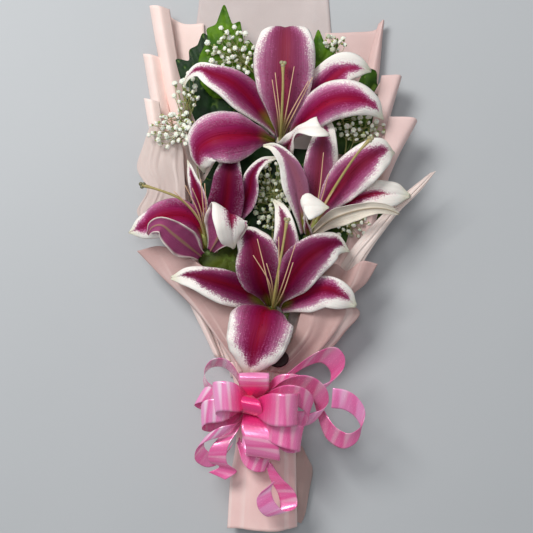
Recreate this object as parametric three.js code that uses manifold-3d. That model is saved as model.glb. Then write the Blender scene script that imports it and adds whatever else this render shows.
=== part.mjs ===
// Four cut lilies, greens and baby's breath in a paper wrap tied with a pull bow, lying on their back.
// Millimetres. +X is to the right, +Y runs from the cut stems to the flowers, +Z is up.
// The origin is under the middle of the bunch, on the surface that it lies on.

import * as THREE from 'three';
import { mergeVertices } from 'three/addons/utils/BufferGeometryUtils.js';
import Module from 'manifold-3d';

const wasm = await Module();
wasm.setup();

// ---------------------------------------------------------------- driving dimensions

const GAP = 0.4; // clearance cut between neighbouring pieces
const SLIVER = 0.05; // edges and steps below this are merged after the cuts
const PETAL_THICKNESS = 1.2;
const PETAL_ROWS = 8;
const PETAL_COLUMNS = 4;
const LEAF_THICKNESS = 0.9;
const PAPER_THICKNESS = 0.9;
const RIBBON_THICKNESS = 0.9;
const RIBBON_WIDTH = 30;
const GATHER_WIDTH = 0.4; // share of the ribbon's width where it is gathered at the knot
const GATHER_LENGTH = 0.3; // share of a loop's length that it takes to open out again
const STEM_RADIUS = 3.2;
const STYLE_RADIUS = 1.3;
const FILAMENT_RADIUS = 0.7;
const STIGMA_RADIUS = 3.4;
const RECEPTACLE_RADIUS = 4.4;
const STALK_RADIUS = 1;
const BACK_SHEET_THICKNESS = 1.2;
const NECK_Y = -110; // where the paper is gathered under the bow
const SLEEVE_END_Y = -270;
const SLEEVE_WALL = 1.2;

// ---------------------------------------------------------------- colours

const PAINT = {
  innerPetal: [0x9c2f68, 0.55],
  outerPetal: [0xb05a86, 0.55],
  pistil: [0x9a9440, 0.6],
  stem: [0x5f8a3a, 0.6],
  leaf: [0x2f5a1e, 0.5],
  breath: [0xf2f1ea, 0.8],
  paper: [0xe6c4be, 0.7],
  ribbon: [0xe8589c, 0.25],
  seal: [0x2a0d0c, 0.35],
};

function material(paint) {
  const [color, roughness] = PAINT[paint];
  return new THREE.MeshStandardMaterial({ color, roughness, metalness: 0 });
}

// ---------------------------------------------------------------- small helpers

const vector = ([x, y, z]) => new THREE.Vector3(x, y, z);

const curveThrough = (points) => new THREE.CatmullRomCurve3(points.map(vector), false, 'centripetal');

// Reads a list of numbers that are spaced evenly from 0 to 1: smooth if it has more than three.
function readList(values, u) {
  const place = u * (values.length - 1);
  const first = Math.min(Math.floor(place), values.length - 2);
  if (values.length <= 3) {
    return THREE.MathUtils.lerp(values[first], values[first + 1], place - first);
  }
  const steps = values.map((value, k) => new THREE.Vector2(k, value));
  return new THREE.SplineCurve(steps).getPoint(u).y;
}

function toSolid(geometry) {
  const bare = geometry.index ? geometry.clone() : geometry;
  bare.deleteAttribute('normal');
  bare.deleteAttribute('uv');
  const merged = mergeVertices(bare, 1e-4);
  const mesh = new wasm.Mesh({
    numProp: 3,
    vertProperties: new Float32Array(merged.attributes.position.array),
    triVerts: new Uint32Array(merged.index.array),
  });
  return new wasm.Manifold(mesh);
}

function toGeometry(solid) {
  const mesh = solid.getMesh();
  const geometry = new THREE.BufferGeometry();
  geometry.setAttribute('position', new THREE.BufferAttribute(mesh.vertProperties, 3));
  geometry.setIndex(new THREE.BufferAttribute(mesh.triVerts, 1));
  geometry.computeVertexNormals();
  return geometry;
}

function largestBody(solid) {
  const bodies = solid.decompose();
  bodies.sort((one, two) => two.volume() - one.volume());
  return bodies[0];
}

// ---------------------------------------------------------------- thin sheets from a grid of points

// Closed slab round a grid of points. `grow` thickens it and widens its rim, for clearance cuts.
function slab(rows, thickness, grow = 0) {
  const last = rows.length - 1;
  const side = rows[0].length - 1;
  const grid = rows.map((row) => row.map((point) => point.clone()));
  const between = (a, b) => b.clone().sub(a);
  if (grow > 0) {
    for (let i = 0; i <= last; i += 1) {
      const left = between(rows[i][1], rows[i][0]).setLength(grow);
      const right = between(rows[i][side - 1], rows[i][side]).setLength(grow);
      grid[i][0].add(left);
      grid[i][side].add(right);
    }
    for (let j = 0; j <= side; j += 1) {
      grid[0][j].add(between(rows[1][j], rows[0][j]).setLength(grow));
      grid[last][j].add(between(rows[last - 1][j], rows[last][j]).setLength(grow));
    }
  }
  const positions = [];
  for (const sign of [1, -1]) {
    for (let i = 0; i <= last; i += 1) {
      for (let j = 0; j <= side; j += 1) {
        const along = between(rows[Math.max(i - 1, 0)][j], rows[Math.min(i + 1, last)][j]);
        const across = between(rows[i][Math.max(j - 1, 0)], rows[i][Math.min(j + 1, side)]);
        const normal = across.cross(along).normalize();
        const offset = sign * (thickness / 2 + grow);
        positions.push(...grid[i][j].clone().addScaledVector(normal, offset).toArray());
      }
    }
  }
  const index = [];
  const count = (last + 1) * (side + 1);
  const at = (layer, i, j) => layer * count + i * (side + 1) + j;
  const quad = (a, b, c, d) => index.push(a, b, c, a, c, d);
  for (let i = 0; i < last; i += 1) {
    for (let j = 0; j < side; j += 1) {
      quad(at(0, i, j), at(0, i, j + 1), at(0, i + 1, j + 1), at(0, i + 1, j));
      quad(at(1, i, j), at(1, i + 1, j), at(1, i + 1, j + 1), at(1, i, j + 1));
    }
  }
  for (let i = 0; i < last; i += 1) {
    quad(at(0, i, 0), at(0, i + 1, 0), at(1, i + 1, 0), at(1, i, 0));
    quad(at(0, i + 1, side), at(0, i, side), at(1, i, side), at(1, i + 1, side));
  }
  for (let j = 0; j < side; j += 1) {
    quad(at(0, 0, j + 1), at(0, 0, j), at(1, 0, j), at(1, 0, j + 1));
    quad(at(0, last, j), at(0, last, j + 1), at(1, last, j + 1), at(1, last, j));
  }
  const geometry = new THREE.BufferGeometry();
  geometry.setAttribute('position', new THREE.Float32BufferAttribute(positions, 3));
  geometry.setIndex(index);
  return toSolid(geometry);
}

// A thin piece with its own solid and the slightly larger solid that keeps its neighbours away.
function thinPiece(rows, thickness) {
  return { solid: slab(rows, thickness), keepout: slab(rows, thickness, GAP) };
}

// ---------------------------------------------------------------- petals

const INNER_PROFILE = [0.16, 0.25, 0.52, 0.86, 1, 0.97, 0.82, 0.56, 0.06];
const OUTER_PROFILE = [0.28, 0.4, 0.6, 0.84, 1, 0.94, 0.74, 0.44, 0.06];

// Each petal: spine from the receptacle to the tip, half width, cup (+ edges up), roll in degrees.
const FLOWERS = {
  lily_top: {
    base: [15, 127, 27],
    stem: [[15, 122, 24], [10, 60, 16], [-2, -20, 16], [-6, -110, 24], [-8, -190, 24], [-10, -262, 24]],
    petals: {
      inner_1: {
        half: 30, cup: [-0.1, -0.14, -0.14, 0, 0.1], roll: [0, 0, 0],
        spine: [[15, 132, 32], [15.5, 142, 58], [16.5, 163, 80], [17.5, 192, 91], [18.5, 222, 91],
          [18.5, 237, 80], [18.5, 236, 62], [18.5, 228, 47]] },
      inner_2: {
        half: 26, cup: [-0.1, -0.15, -0.15], roll: [0, 0, 0],
        spine: [[9, 129, 33], [-6, 131, 61], [-28, 130, 81], [-52, 126, 86], [-66, 118, 79],
          [-68.5, 105, 66], [-63, 94, 54]] },
      inner_3: {
        half: 19, cup: [-0.15, -0.2, -0.2], roll: [0, 0, 0],
        spine: [[21, 127, 33], [30, 138, 62], [45, 152, 79], [64, 163, 90], [86, 165, 92], [106, 159, 84],
          [117, 147, 69]] },
      outer_1: {
        half: 16.5, cup: [0.15, 0.15, 0.3], roll: [0, 0, 0],
        profile: [0.3, 0.4, 0.7, 0.96, 1, 0.88, 0.6, 0.28, 0.12],
        spine: [[11.9, 137.8, 30], [-4.6, 154, 50], [-19.6, 169.5, 63], [-36.4, 182.1, 73],
          [-53.3, 189.9, 74], [-67.5, 196.5, 70], [-78.9, 190.6, 63], [-83.4, 182.6, 56]] },
      outer_2: {
        half: 16.5, cup: [0.1, 0.15, 0.1], roll: [0, 0, 0],
        profile: [0.28, 0.4, 0.6, 0.86, 1, 1, 0.9, 0.62, 0.1],
        spine: [[18.1, 138.9, 30], [30, 150.9, 50], [45.8, 169.5, 63], [63.3, 188.9, 74],
          [78.1, 198.4, 77], [93.3, 199, 73], [105.1, 196.6, 63]] },
      outer_3: {
        half: 17, cup: [0.3, 0.3, 0.1, 0.05], roll: [0, 10, 35, 85, 90],
        profile: [0.4, 0.5, 0.56, 0.55, 0.45, 0.25, 0.45, 0.92, 0.5],
        spine: [[18, 132, 31], [19.7, 121, 55], [23.3, 123, 78], [29.9, 134, 96], [40, 136, 105],
          [52, 135.5, 106.5], [54.5, 134.5, 97]] },
    },
    style: [[14.5, 129, 36], [14.5, 133, 64], [15, 150, 88], [16, 175, 102], [16, 197, 105]],
    filaments: [
      [[14.5, 129, 36], [11, 150, 86], [5.5, 182, 101]],
      [[14.5, 129, 36], [13, 150, 87], [8.5, 189, 101]],
      [[14.5, 129, 36], [19, 150, 87], [27, 195, 101]],
      [[14.5, 129, 36], [22, 148, 86], [41, 181, 101]],
      [[14.5, 129, 36], [25, 147, 85], [45, 185, 98]]],
  },
  lily_left: {
    base: [-60, 14, 33],
    stem: [[-58, 10, 30], [-46, -30, 22], [-26, -76, 22], [-16, -110, 24], [-20, -190, 22],
      [-24, -262, 22]],
    petals: {
      inner_1: {
        half: 18.5, cup: [-0.1, -0.1, -0.1], roll: [0, 0, 0],
        spine: [[-64, 18, 42], [-67, 36, 58], [-80, 48, 70], [-101, 48, 76], [-119, 40, 71],
          [-139, 34, 58]] },
      inner_2: {
        half: 19, cup: [0.25, 0.2, 0.1], roll: [0, 0, 0],
        profile: [0.3, 0.55, 0.95, 1, 0.95, 0.85, 0.7, 0.45, 0.1],
        spine: [[-56, 20, 40], [-52, 36, 46], [-44, 54, 54], [-40, 72, 62], [-38, 90, 67], [-36, 106, 64],
          [-35, 118, 55]] },
      inner_3: {
        half: 22, cup: [0.1, 0.05, 0.05, -0.1], roll: [180, 180, 180],
        profile: [0.2, 0.4, 0.7, 0.9, 1, 1, 0.88, 0.6, 0.08],
        spine: [[-57, 16, 44], [-48, 30, 64], [-39, 46, 86], [-35, 52, 98], [-34, 45, 102], [-33, 31, 98],
          [-32, 18, 86]] },
      outer_1: {
        half: 15, cup: [-0.15, -0.2, -0.2], roll: [180, 180, 180],
        profile: [0.35, 0.5, 0.8, 1, 1, 0.86, 0.55, 0.35, 0.12],
        spine: [[-67, 10.7, 44], [-80.5, 22, 64], [-93, 32.5, 79], [-104, 41, 87], [-112.5, 39, 84],
          [-118, 32, 77]] },
      outer_2: {
        half: 10, cup: [0.2, 0.2, 0.2], roll: [40, 40, 40],
        spine: [[-62, 20, 38], [-63, 48, 46], [-69, 74, 60], [-75, 93, 64], [-80, 108, 57]] },
      outer_3: {
        half: 12, cup: [0.2, 0.2, 0.2], roll: [0, 0, 0],
        profile: [0.3, 0.4, 0.6, 0.85, 1, 0.8, 0.55, 0.35, 0.12],
        spine: [[-54, 15, 36], [-44, 40, 42], [-29, 58, 50], [-18, 76, 58], [-14, 93, 64], [-4, 105, 66],
          [12, 110, 61]] },
    },
    style: [[-61, 20, 42], [-67, 46, 68], [-84, 66, 84], [-102, 74, 90], [-122, 80, 92]],
    filaments: [
      [[-61, 20, 42], [-70, 52, 76], [-91, 74, 92]],
      [[-61, 20, 42], [-68, 54, 76], [-80, 80, 88]],
      [[-61, 20, 42], [-66, 58, 74], [-73, 77, 90]],
      [[-61, 20, 42], [-63, 58, 72], [-65, 86, 84]],
      [[-61, 20, 42], [-60, 56, 72], [-61, 82, 86]]],
  },
  lily_right: {
    base: [41, 29, 40],
    stem: [[40, 25, 37], [30, -20, 24], [14, -70, 20], [4, -110, 24], [4, -190, 22], [2, -262, 22]],
    petals: {
      inner_1: {
        half: 16.5, cup: [0.15, 0.15, 0.15], roll: [0, 0, 0],
        spine: [[42, 38, 44], [50, 68, 56], [54, 96, 68], [56, 117, 74], [59, 135, 72], [62, 152, 64]] },
      inner_2: {
        half: 20, cup: [0.1, 0.1, 0], roll: [0, 0, 0],
        profile: [0.16, 0.25, 0.5, 0.8, 0.95, 1, 0.92, 0.68, 0.06],
        spine: [[45, 36, 47], [60, 62, 60], [75, 80, 75], [91, 97, 86], [107, 109, 88], [120, 115, 80],
          [128, 114, 68]] },
      inner_3: {
        half: 15, cup: [0.1, 0.1, 0, 0], roll: [50, 70, 90, 90],
        profile: [0.35, 0.4, 0.4, 0.36, 0.3, 0.3, 0.9, 0.6, 0.05],
        spine: [[43.2, 31, 50], [41.5, 38.5, 70], [38.9, 46.7, 90], [36.5, 54, 103], [36.3, 57.7, 108],
          [41.2, 58.6, 109], [50, 58.2, 107], [60.9, 57.5, 101]] },
      outer_1: {
        half: 13, cup: [0.35, 0.35, 0.35], roll: [0, 0, 0],
        profile: [0.28, 0.4, 0.62, 0.86, 1, 0.9, 0.66, 0.42, 0.1],
        spine: [[38, 34, 48], [33, 60, 64], [28, 84, 78], [19, 105, 89], [7, 117, 93], [-3, 119, 89]] },
      outer_2: {
        half: 13, cup: [0.1, 0.1, -0.1], roll: [0, 0, 0],
        profile: [0.3, 0.35, 0.45, 0.6, 0.75, 0.95, 1, 0.85, 0.15],
        spine: [[50.5, 35.2, 44], [67.4, 53.2, 53], [86.1, 65.9, 62], [105.6, 72.6, 69],
          [125.6, 72.6, 69], [144.7, 71.1, 60]] },
      outer_3: {
        half: 12.5, cup: [-0.2, -0.2, -0.1], roll: [140, 145, 165],
        profile: [0.4, 0.5, 0.72, 0.9, 0.85, 0.65, 0.5, 0.36, 0.1],
        spine: [[47.3, 34, 50], [63.6, 46.6, 68], [82.8, 54.1, 80], [102.3, 57.8, 84], [118.4, 57, 81],
          [132.2, 52.4, 73]] },
    },
    style: [[44, 34, 50], [58, 62, 72], [76, 92, 92], [90, 112, 102], [101, 124, 104]],
    filaments: [
      [[44, 34, 50], [52, 70, 76], [56, 112, 92]],
      [[44, 34, 50], [55, 68, 78], [61, 91, 94]],
      [[44, 34, 50], [60, 66, 76], [78, 96, 92]],
      [[44, 34, 50], [62, 68, 78], [85, 106, 96]]],
  },
  lily_bottom: {
    base: [7, -47, 27],
    stem: [[6, -52, 24], [-2, -80, 32], [-6, -110, 33], [-8, -190, 33], [-8, -262, 33]],
    petals: {
      inner_1: {
        half: 22, cup: [-0.05, -0.05, -0.05], roll: [0, 0, 0],
        spine: [[3, -41, 34], [0, -30, 58], [-6, -15, 75], [-8, 1, 83], [-11, 19, 81], [-19, 33, 71],
          [-28, 41, 60]] },
      inner_2: {
        half: 20.5, cup: [0.05, 0.05, 0], roll: [0, 0, 0],
        spine: [[12, -41, 34], [15, -29, 60], [25, -14, 77], [38, 3, 87], [54, 16, 91], [70, 22, 82],
          [83, 15, 70]] },
      inner_3: {
        half: 33, cup: [-0.1, -0.12, -0.1], roll: [0, 0, 0],
        profile: [0.16, 0.3, 0.62, 0.94, 1, 0.93, 0.8, 0.58, 0.16],
        spine: [[6.7, -43.7, 34], [4.5, -42.9, 58], [-2.5, -45.2, 79], [-5.4, -57.5, 92],
          [-10.3, -75, 94], [-14.3, -92.3, 86], [-17.5, -108.3, 72]] },
      outer_1: {
        half: 15.5, cup: [0.15, 0.15, 0.15], roll: [0, 0, 0],
        profile: [0.28, 0.45, 0.7, 0.95, 1, 0.85, 0.65, 0.42, 0.1],
        spine: [[7, -39, 32], [10, -22, 46], [16, 0, 57], [19.5, 24, 64], [18, 44, 66], [13, 60, 62],
          [7, 67, 56]] },
      outer_2: {
        half: 17, cup: [0.1, 0.1, 0.05], roll: [0, 0, 0],
        profile: [0.4, 0.6, 0.85, 1, 1, 0.9, 0.74, 0.5, 0.1],
        spine: [[1.5, -39.7, 32], [-12.7, -32.1, 47], [-32.7, -23.7, 61], [-54.5, -16.5, 70],
          [-75.6, -10.5, 69], [-96.4, -11.6, 59]] },
      outer_3: {
        half: 16.5, cup: [0.1, 0.1, 0.05], roll: [0, 0, 0],
        profile: [0.4, 0.55, 0.75, 0.95, 1, 1, 0.9, 0.64, 0.12],
        spine: [[14.9, -41.8, 32], [25.9, -36, 51], [41.7, -29.6, 64], [58.3, -25.4, 74],
          [74.3, -30.4, 74], [89.9, -39.7, 64]] },
    },
    style: [[7, -44, 38], [7, -36, 66], [11, -8, 90], [16, 20, 100], [20, 45, 102]],
    filaments: [
      [[7, -44, 38], [1, -14, 88], [-9, 27, 98]],
      [[7, -44, 38], [2, -14, 88], [-13, 11, 98]],
      [[7, -44, 38], [5, -14, 88], [0, 3, 97]],
      [[7, -44, 38], [12, -10, 90], [12, 29, 98]],
      [[7, -44, 38], [17, -14, 89], [28, 21, 100]],
      [[7, -44, 38], [17, -24, 86], [26, 4, 99]]],
  },
};

// Rows of points across a blade that follows a spine. The frame is carried from the middle outwards,
// so that it never flips, with the blade's inner face up in the middle.
function bladeRows(spine, half, profile, cup, roll, rowCount, columnCount) {
  const curve = curveThrough(spine);
  const points = [];
  const tangents = [];
  for (let i = 0; i <= rowCount; i += 1) {
    points.push(curve.getPointAt(i / rowCount));
    tangents.push(curve.getTangentAt(i / rowCount));
  }
  const middle = Math.round(rowCount * 0.5);
  const sides = [];
  sides[middle] = tangents[middle].clone().cross(new THREE.Vector3(0, 0, 1)).normalize();
  const carry = (from, to) => {
    const drop = sides[from].dot(tangents[to]);
    sides[to] = sides[from].clone().addScaledVector(tangents[to], -drop).normalize();
  };
  for (let i = middle + 1; i <= rowCount; i += 1) carry(i - 1, i);
  for (let i = middle - 1; i >= 0; i -= 1) carry(i + 1, i);
  return points.map((point, i) => {
    const u = i / rowCount;
    const turn = THREE.MathUtils.degToRad(readList(roll, u));
    const side = sides[i].clone().applyAxisAngle(tangents[i], turn);
    const up = side.clone().cross(tangents[i]);
    const width = half * readList(profile, u);
    const hollow = readList(cup, u);
    const row = [];
    for (let j = 0; j <= columnCount; j += 1) {
      const v = (2 * j) / columnCount - 1;
      const lift = hollow * width * v * v;
      row.push(point.clone().addScaledVector(side, width * v).addScaledVector(up, lift));
    }
    return row;
  });
}

function petal({ spine, half, cup, roll, profile = null }, inner) {
  const usual = inner ? INNER_PROFILE : OUTER_PROFILE;
  const rows = bladeRows(spine, half, profile ?? usual, cup, roll, PETAL_ROWS, PETAL_COLUMNS);
  return thinPiece(rows, PETAL_THICKNESS);
}

// ---------------------------------------------------------------- tubes, stems, pistils

function tube(points, radius, sides, steps) {
  const shape = new THREE.Shape();
  for (let k = 0; k < sides; k += 1) {
    const angle = (2 * Math.PI * k) / sides;
    const corner = [radius * Math.cos(angle), radius * Math.sin(angle)];
    if (k === 0) shape.moveTo(...corner);
    else shape.lineTo(...corner);
  }
  shape.closePath();
  const settings = { steps, bevelEnabled: false, extrudePath: curveThrough(points) };
  return toSolid(new THREE.ExtrudeGeometry(shape, settings));
}

function ball(centre, radii, detail) {
  const geometry = new THREE.IcosahedronGeometry(1, detail);
  geometry.scale(...radii);
  geometry.translate(...centre);
  return toSolid(geometry);
}

function joined(makePart) {
  return { solid: makePart(0), keepout: makePart(GAP) };
}

function flowerStem({ base, stem }) {
  return joined((grow) => {
    const radius = RECEPTACLE_RADIUS + grow;
    const head = ball(base, [radius, radius, radius], 1);
    return head.add(tube(stem, STEM_RADIUS + grow, 6, 8));
  });
}

function pistilWithFilaments({ style, filaments }) {
  return joined((grow) => {
    const tip = style[style.length - 1];
    const stigma = ball(tip, [STIGMA_RADIUS + grow, STIGMA_RADIUS + grow, 2.4 + grow], 1);
    let solid = tube(style, STYLE_RADIUS + grow, 6, 6).add(stigma);
    for (const filament of filaments) {
      solid = solid.add(tube(filament, FILAMENT_RADIUS + grow, 5, 4));
    }
    return solid;
  });
}

// ---------------------------------------------------------------- leaves

// Flat outlines, each laid at a height and tilted about its own base point.
const LEAVES = {
  leaf_top_left: { at: [-40, 177, 32], tilt: [6, 3], outline: [
    [25.1, 2.9], [29.2, 17.3], [25.1, 35.9], [28.1, 48.3], [20.9, 56.5], [16.8, 50.3], [12.7, 75.1],
    [4.4, 70.9], [-3.8, 94.6], [-12.1, 70.9], [-22.4, 66.8], [-20.3, 56.5], [-30.6, 35.9], [-28.6, 11.1],
    [-16.2, -3.3], [4.4, -5.4]] },
  leaf_upper_left: { at: [-59, 142, 22], tilt: [2, -3], outline: [
    [54.3, -2.3], [39.8, 26.8], [27.3, 39.3], [12.8, 62.2], [4.5, 91.3], [-7, 101.7], [-12.2, 87.1],
    [-21.5, 82.9], [-20.5, 70.5], [-36.1, 74.6], [-29.8, 51.8], [-24.6, 33.1], [-14.3, 8.1], [-3.9, -21],
    [21.1, -31.3], [41.9, -21]] },
  leaf_top_right: { at: [49, 171, 36], tilt: [4, 0], outline: [
    [-14.6, -12.2], [-10.5, 39.2], [-3.3, 53.5], [3.9, 74.1], [11.1, 55.6], [20.4, 59.7], [24.5, 63.8],
    [24.5, 53.5], [18.3, 43.3], [16.3, 10.4], [1.9, -10.2]] },
  leaf_right: { at: [97, 141, 26], tilt: [-4, 4], outline: [
    [-35.4, -20.3], [-43.7, 10.7], [-31.2, 27.3], [-8.4, 35.6], [6.1, 66.7], [18.5, 62.5], [17.5, 48],
    [29.9, 39.7], [25.7, 27.3], [26.8, 6.6], [37.1, 6.6], [34, -5.8], [18.5, -12], [6.1, -20.3],
    [-16.7, -26.5]] },
  leaf_left: { at: [-46, 9, 34], tilt: [0, 0], outline: [
    [-29.7, 3.9], [-19.4, 12.1], [-7, 16.2], [14.6, 18.3], [33.1, 20.3], [37.3, 1.8], [31.1, -18.8],
    [8.4, -25], [-14.2, -16.7]] },
  leaf_centre: { at: [14, 69, 17], tilt: [0, 0], outline: [
    [-87.5, -37.2], [-95.9, -5.9], [-77.1, 23.3], [-60.4, 52.5], [-29.1, 56.7], [2.2, 54.6], [39.7, 52.5],
    [58.5, 29.6], [50.1, -5.9], [27.2, -45.5], [2.2, -64.3], [-27, -70.6], [-58.3, -64.3]] },
  leaf_low_right: { at: [88, 42, 27], tilt: [0, 0], outline: [
    [-30.6, -10.4], [-22.3, 12.3], [-1.6, 20.6], [23.3, 20.6], [33.6, 12.3], [21.2, -0.1], [6.7, -12.5],
    [-1.6, -24.9], [-16.1, -20.8]] },
};

function leaf({ at, tilt, outline }) {
  const [pitch, bank] = tilt.map(THREE.MathUtils.degToRad);
  return joined((grow) => {
    const centre = new THREE.Vector2();
    outline.forEach((corner) => centre.add(new THREE.Vector2(...corner)));
    centre.divideScalar(outline.length);
    const shape = new THREE.Shape(outline.map((corner) => {
      const outward = new THREE.Vector2(...corner).sub(centre);
      return new THREE.Vector2(...corner).add(outward.setLength(grow));
    }));
    const depth = LEAF_THICKNESS + 2 * grow;
    const geometry = new THREE.ExtrudeGeometry(shape, { depth, bevelEnabled: false });
    geometry.translate(0, 0, -depth / 2);
    geometry.rotateX(pitch);
    geometry.rotateY(bank);
    geometry.translate(...at);
    return toSolid(geometry);
  });
}

// ---------------------------------------------------------------- baby's breath

// Each spray: branches of thin stalk, and rounded clouds of florets as [centre, radii].
const SPRAYS = {
  breath_top_left: {
    stalks: [
      [[-37, 222, 48], [-16, 202, 40], [2, 178, 28], [4, 150, 10], [-4, 60, 9.5], [-14, -100, 10]]],
    clouds: [
      [[-36.1, 218, 50], [28, 29, 10]]] },
  breath_left: {
    stalks: [
      [[-86, 148, 52], [-74, 120, 46], [-67, 60, 27], [-60, 18, 23], [-45, -14, 19], [-22, -100, 12]]],
    clouds: [
      [[-81.8, 175.3, 50], [15, 24, 10]],
      [[-97.4, 137.8, 58], [24, 20, 9]],
      [[-79.3, 133.9, 57], [10, 16, 9]]] },
  breath_centre: {
    stalks: [
      [[8, 74, 40], [6, 30, 32], [8, 0, 26], [10, -40, 13], [2, -100, 10]]],
    clouds: [
      [[5.6, 72.2, 40], [26, 38, 9]]] },
  breath_right: {
    stalks: [
      [[94, 140, 52], [78, 100, 30], [40, 0, 11], [4, -100, 11]],
      [[70, 228, 48], [72, 180, 38], [82, 130, 34], [78, 100, 30]],
      [[84, 42, 44], [70, 56, 30], [60, 62, 20], [55, 40, 15]]],
    clouds: [
      [[94.9, 140.5, 52], [28, 15, 9]],
      [[69.7, 227.5, 48], [14, 10, 8]],
      [[87.3, 43.4, 44], [20, 18, 8]]] },
};

function spray({ stalks, clouds }) {
  return joined((grow) => {
    let solid = null;
    for (const stalk of stalks) {
      const part = tube(stalk, STALK_RADIUS + grow, 5, 6);
      solid = solid ? solid.add(part) : part;
    }
    for (const [centre, radii] of clouds) {
      solid = solid.add(ball(centre, radii.map((radius) => radius + grow), 1));
    }
    return solid;
  });
}

// ---------------------------------------------------------------- paper wrap

// A sheet through rows of points: smooth along the rows and across them.
function smoothRows(control, rowCount, columnCount) {
  const across = control.map((row) => curveThrough(row).getPoints(columnCount));
  const rows = [];
  for (let i = 0; i <= rowCount; i += 1) rows.push([]);
  for (let j = 0; j <= columnCount; j += 1) {
    const line = new THREE.CatmullRomCurve3(across.map((row) => row[j]), false, 'centripetal');
    line.getPoints(rowCount).forEach((point, i) => rows[i].push(point));
  }
  return rows;
}

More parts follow.
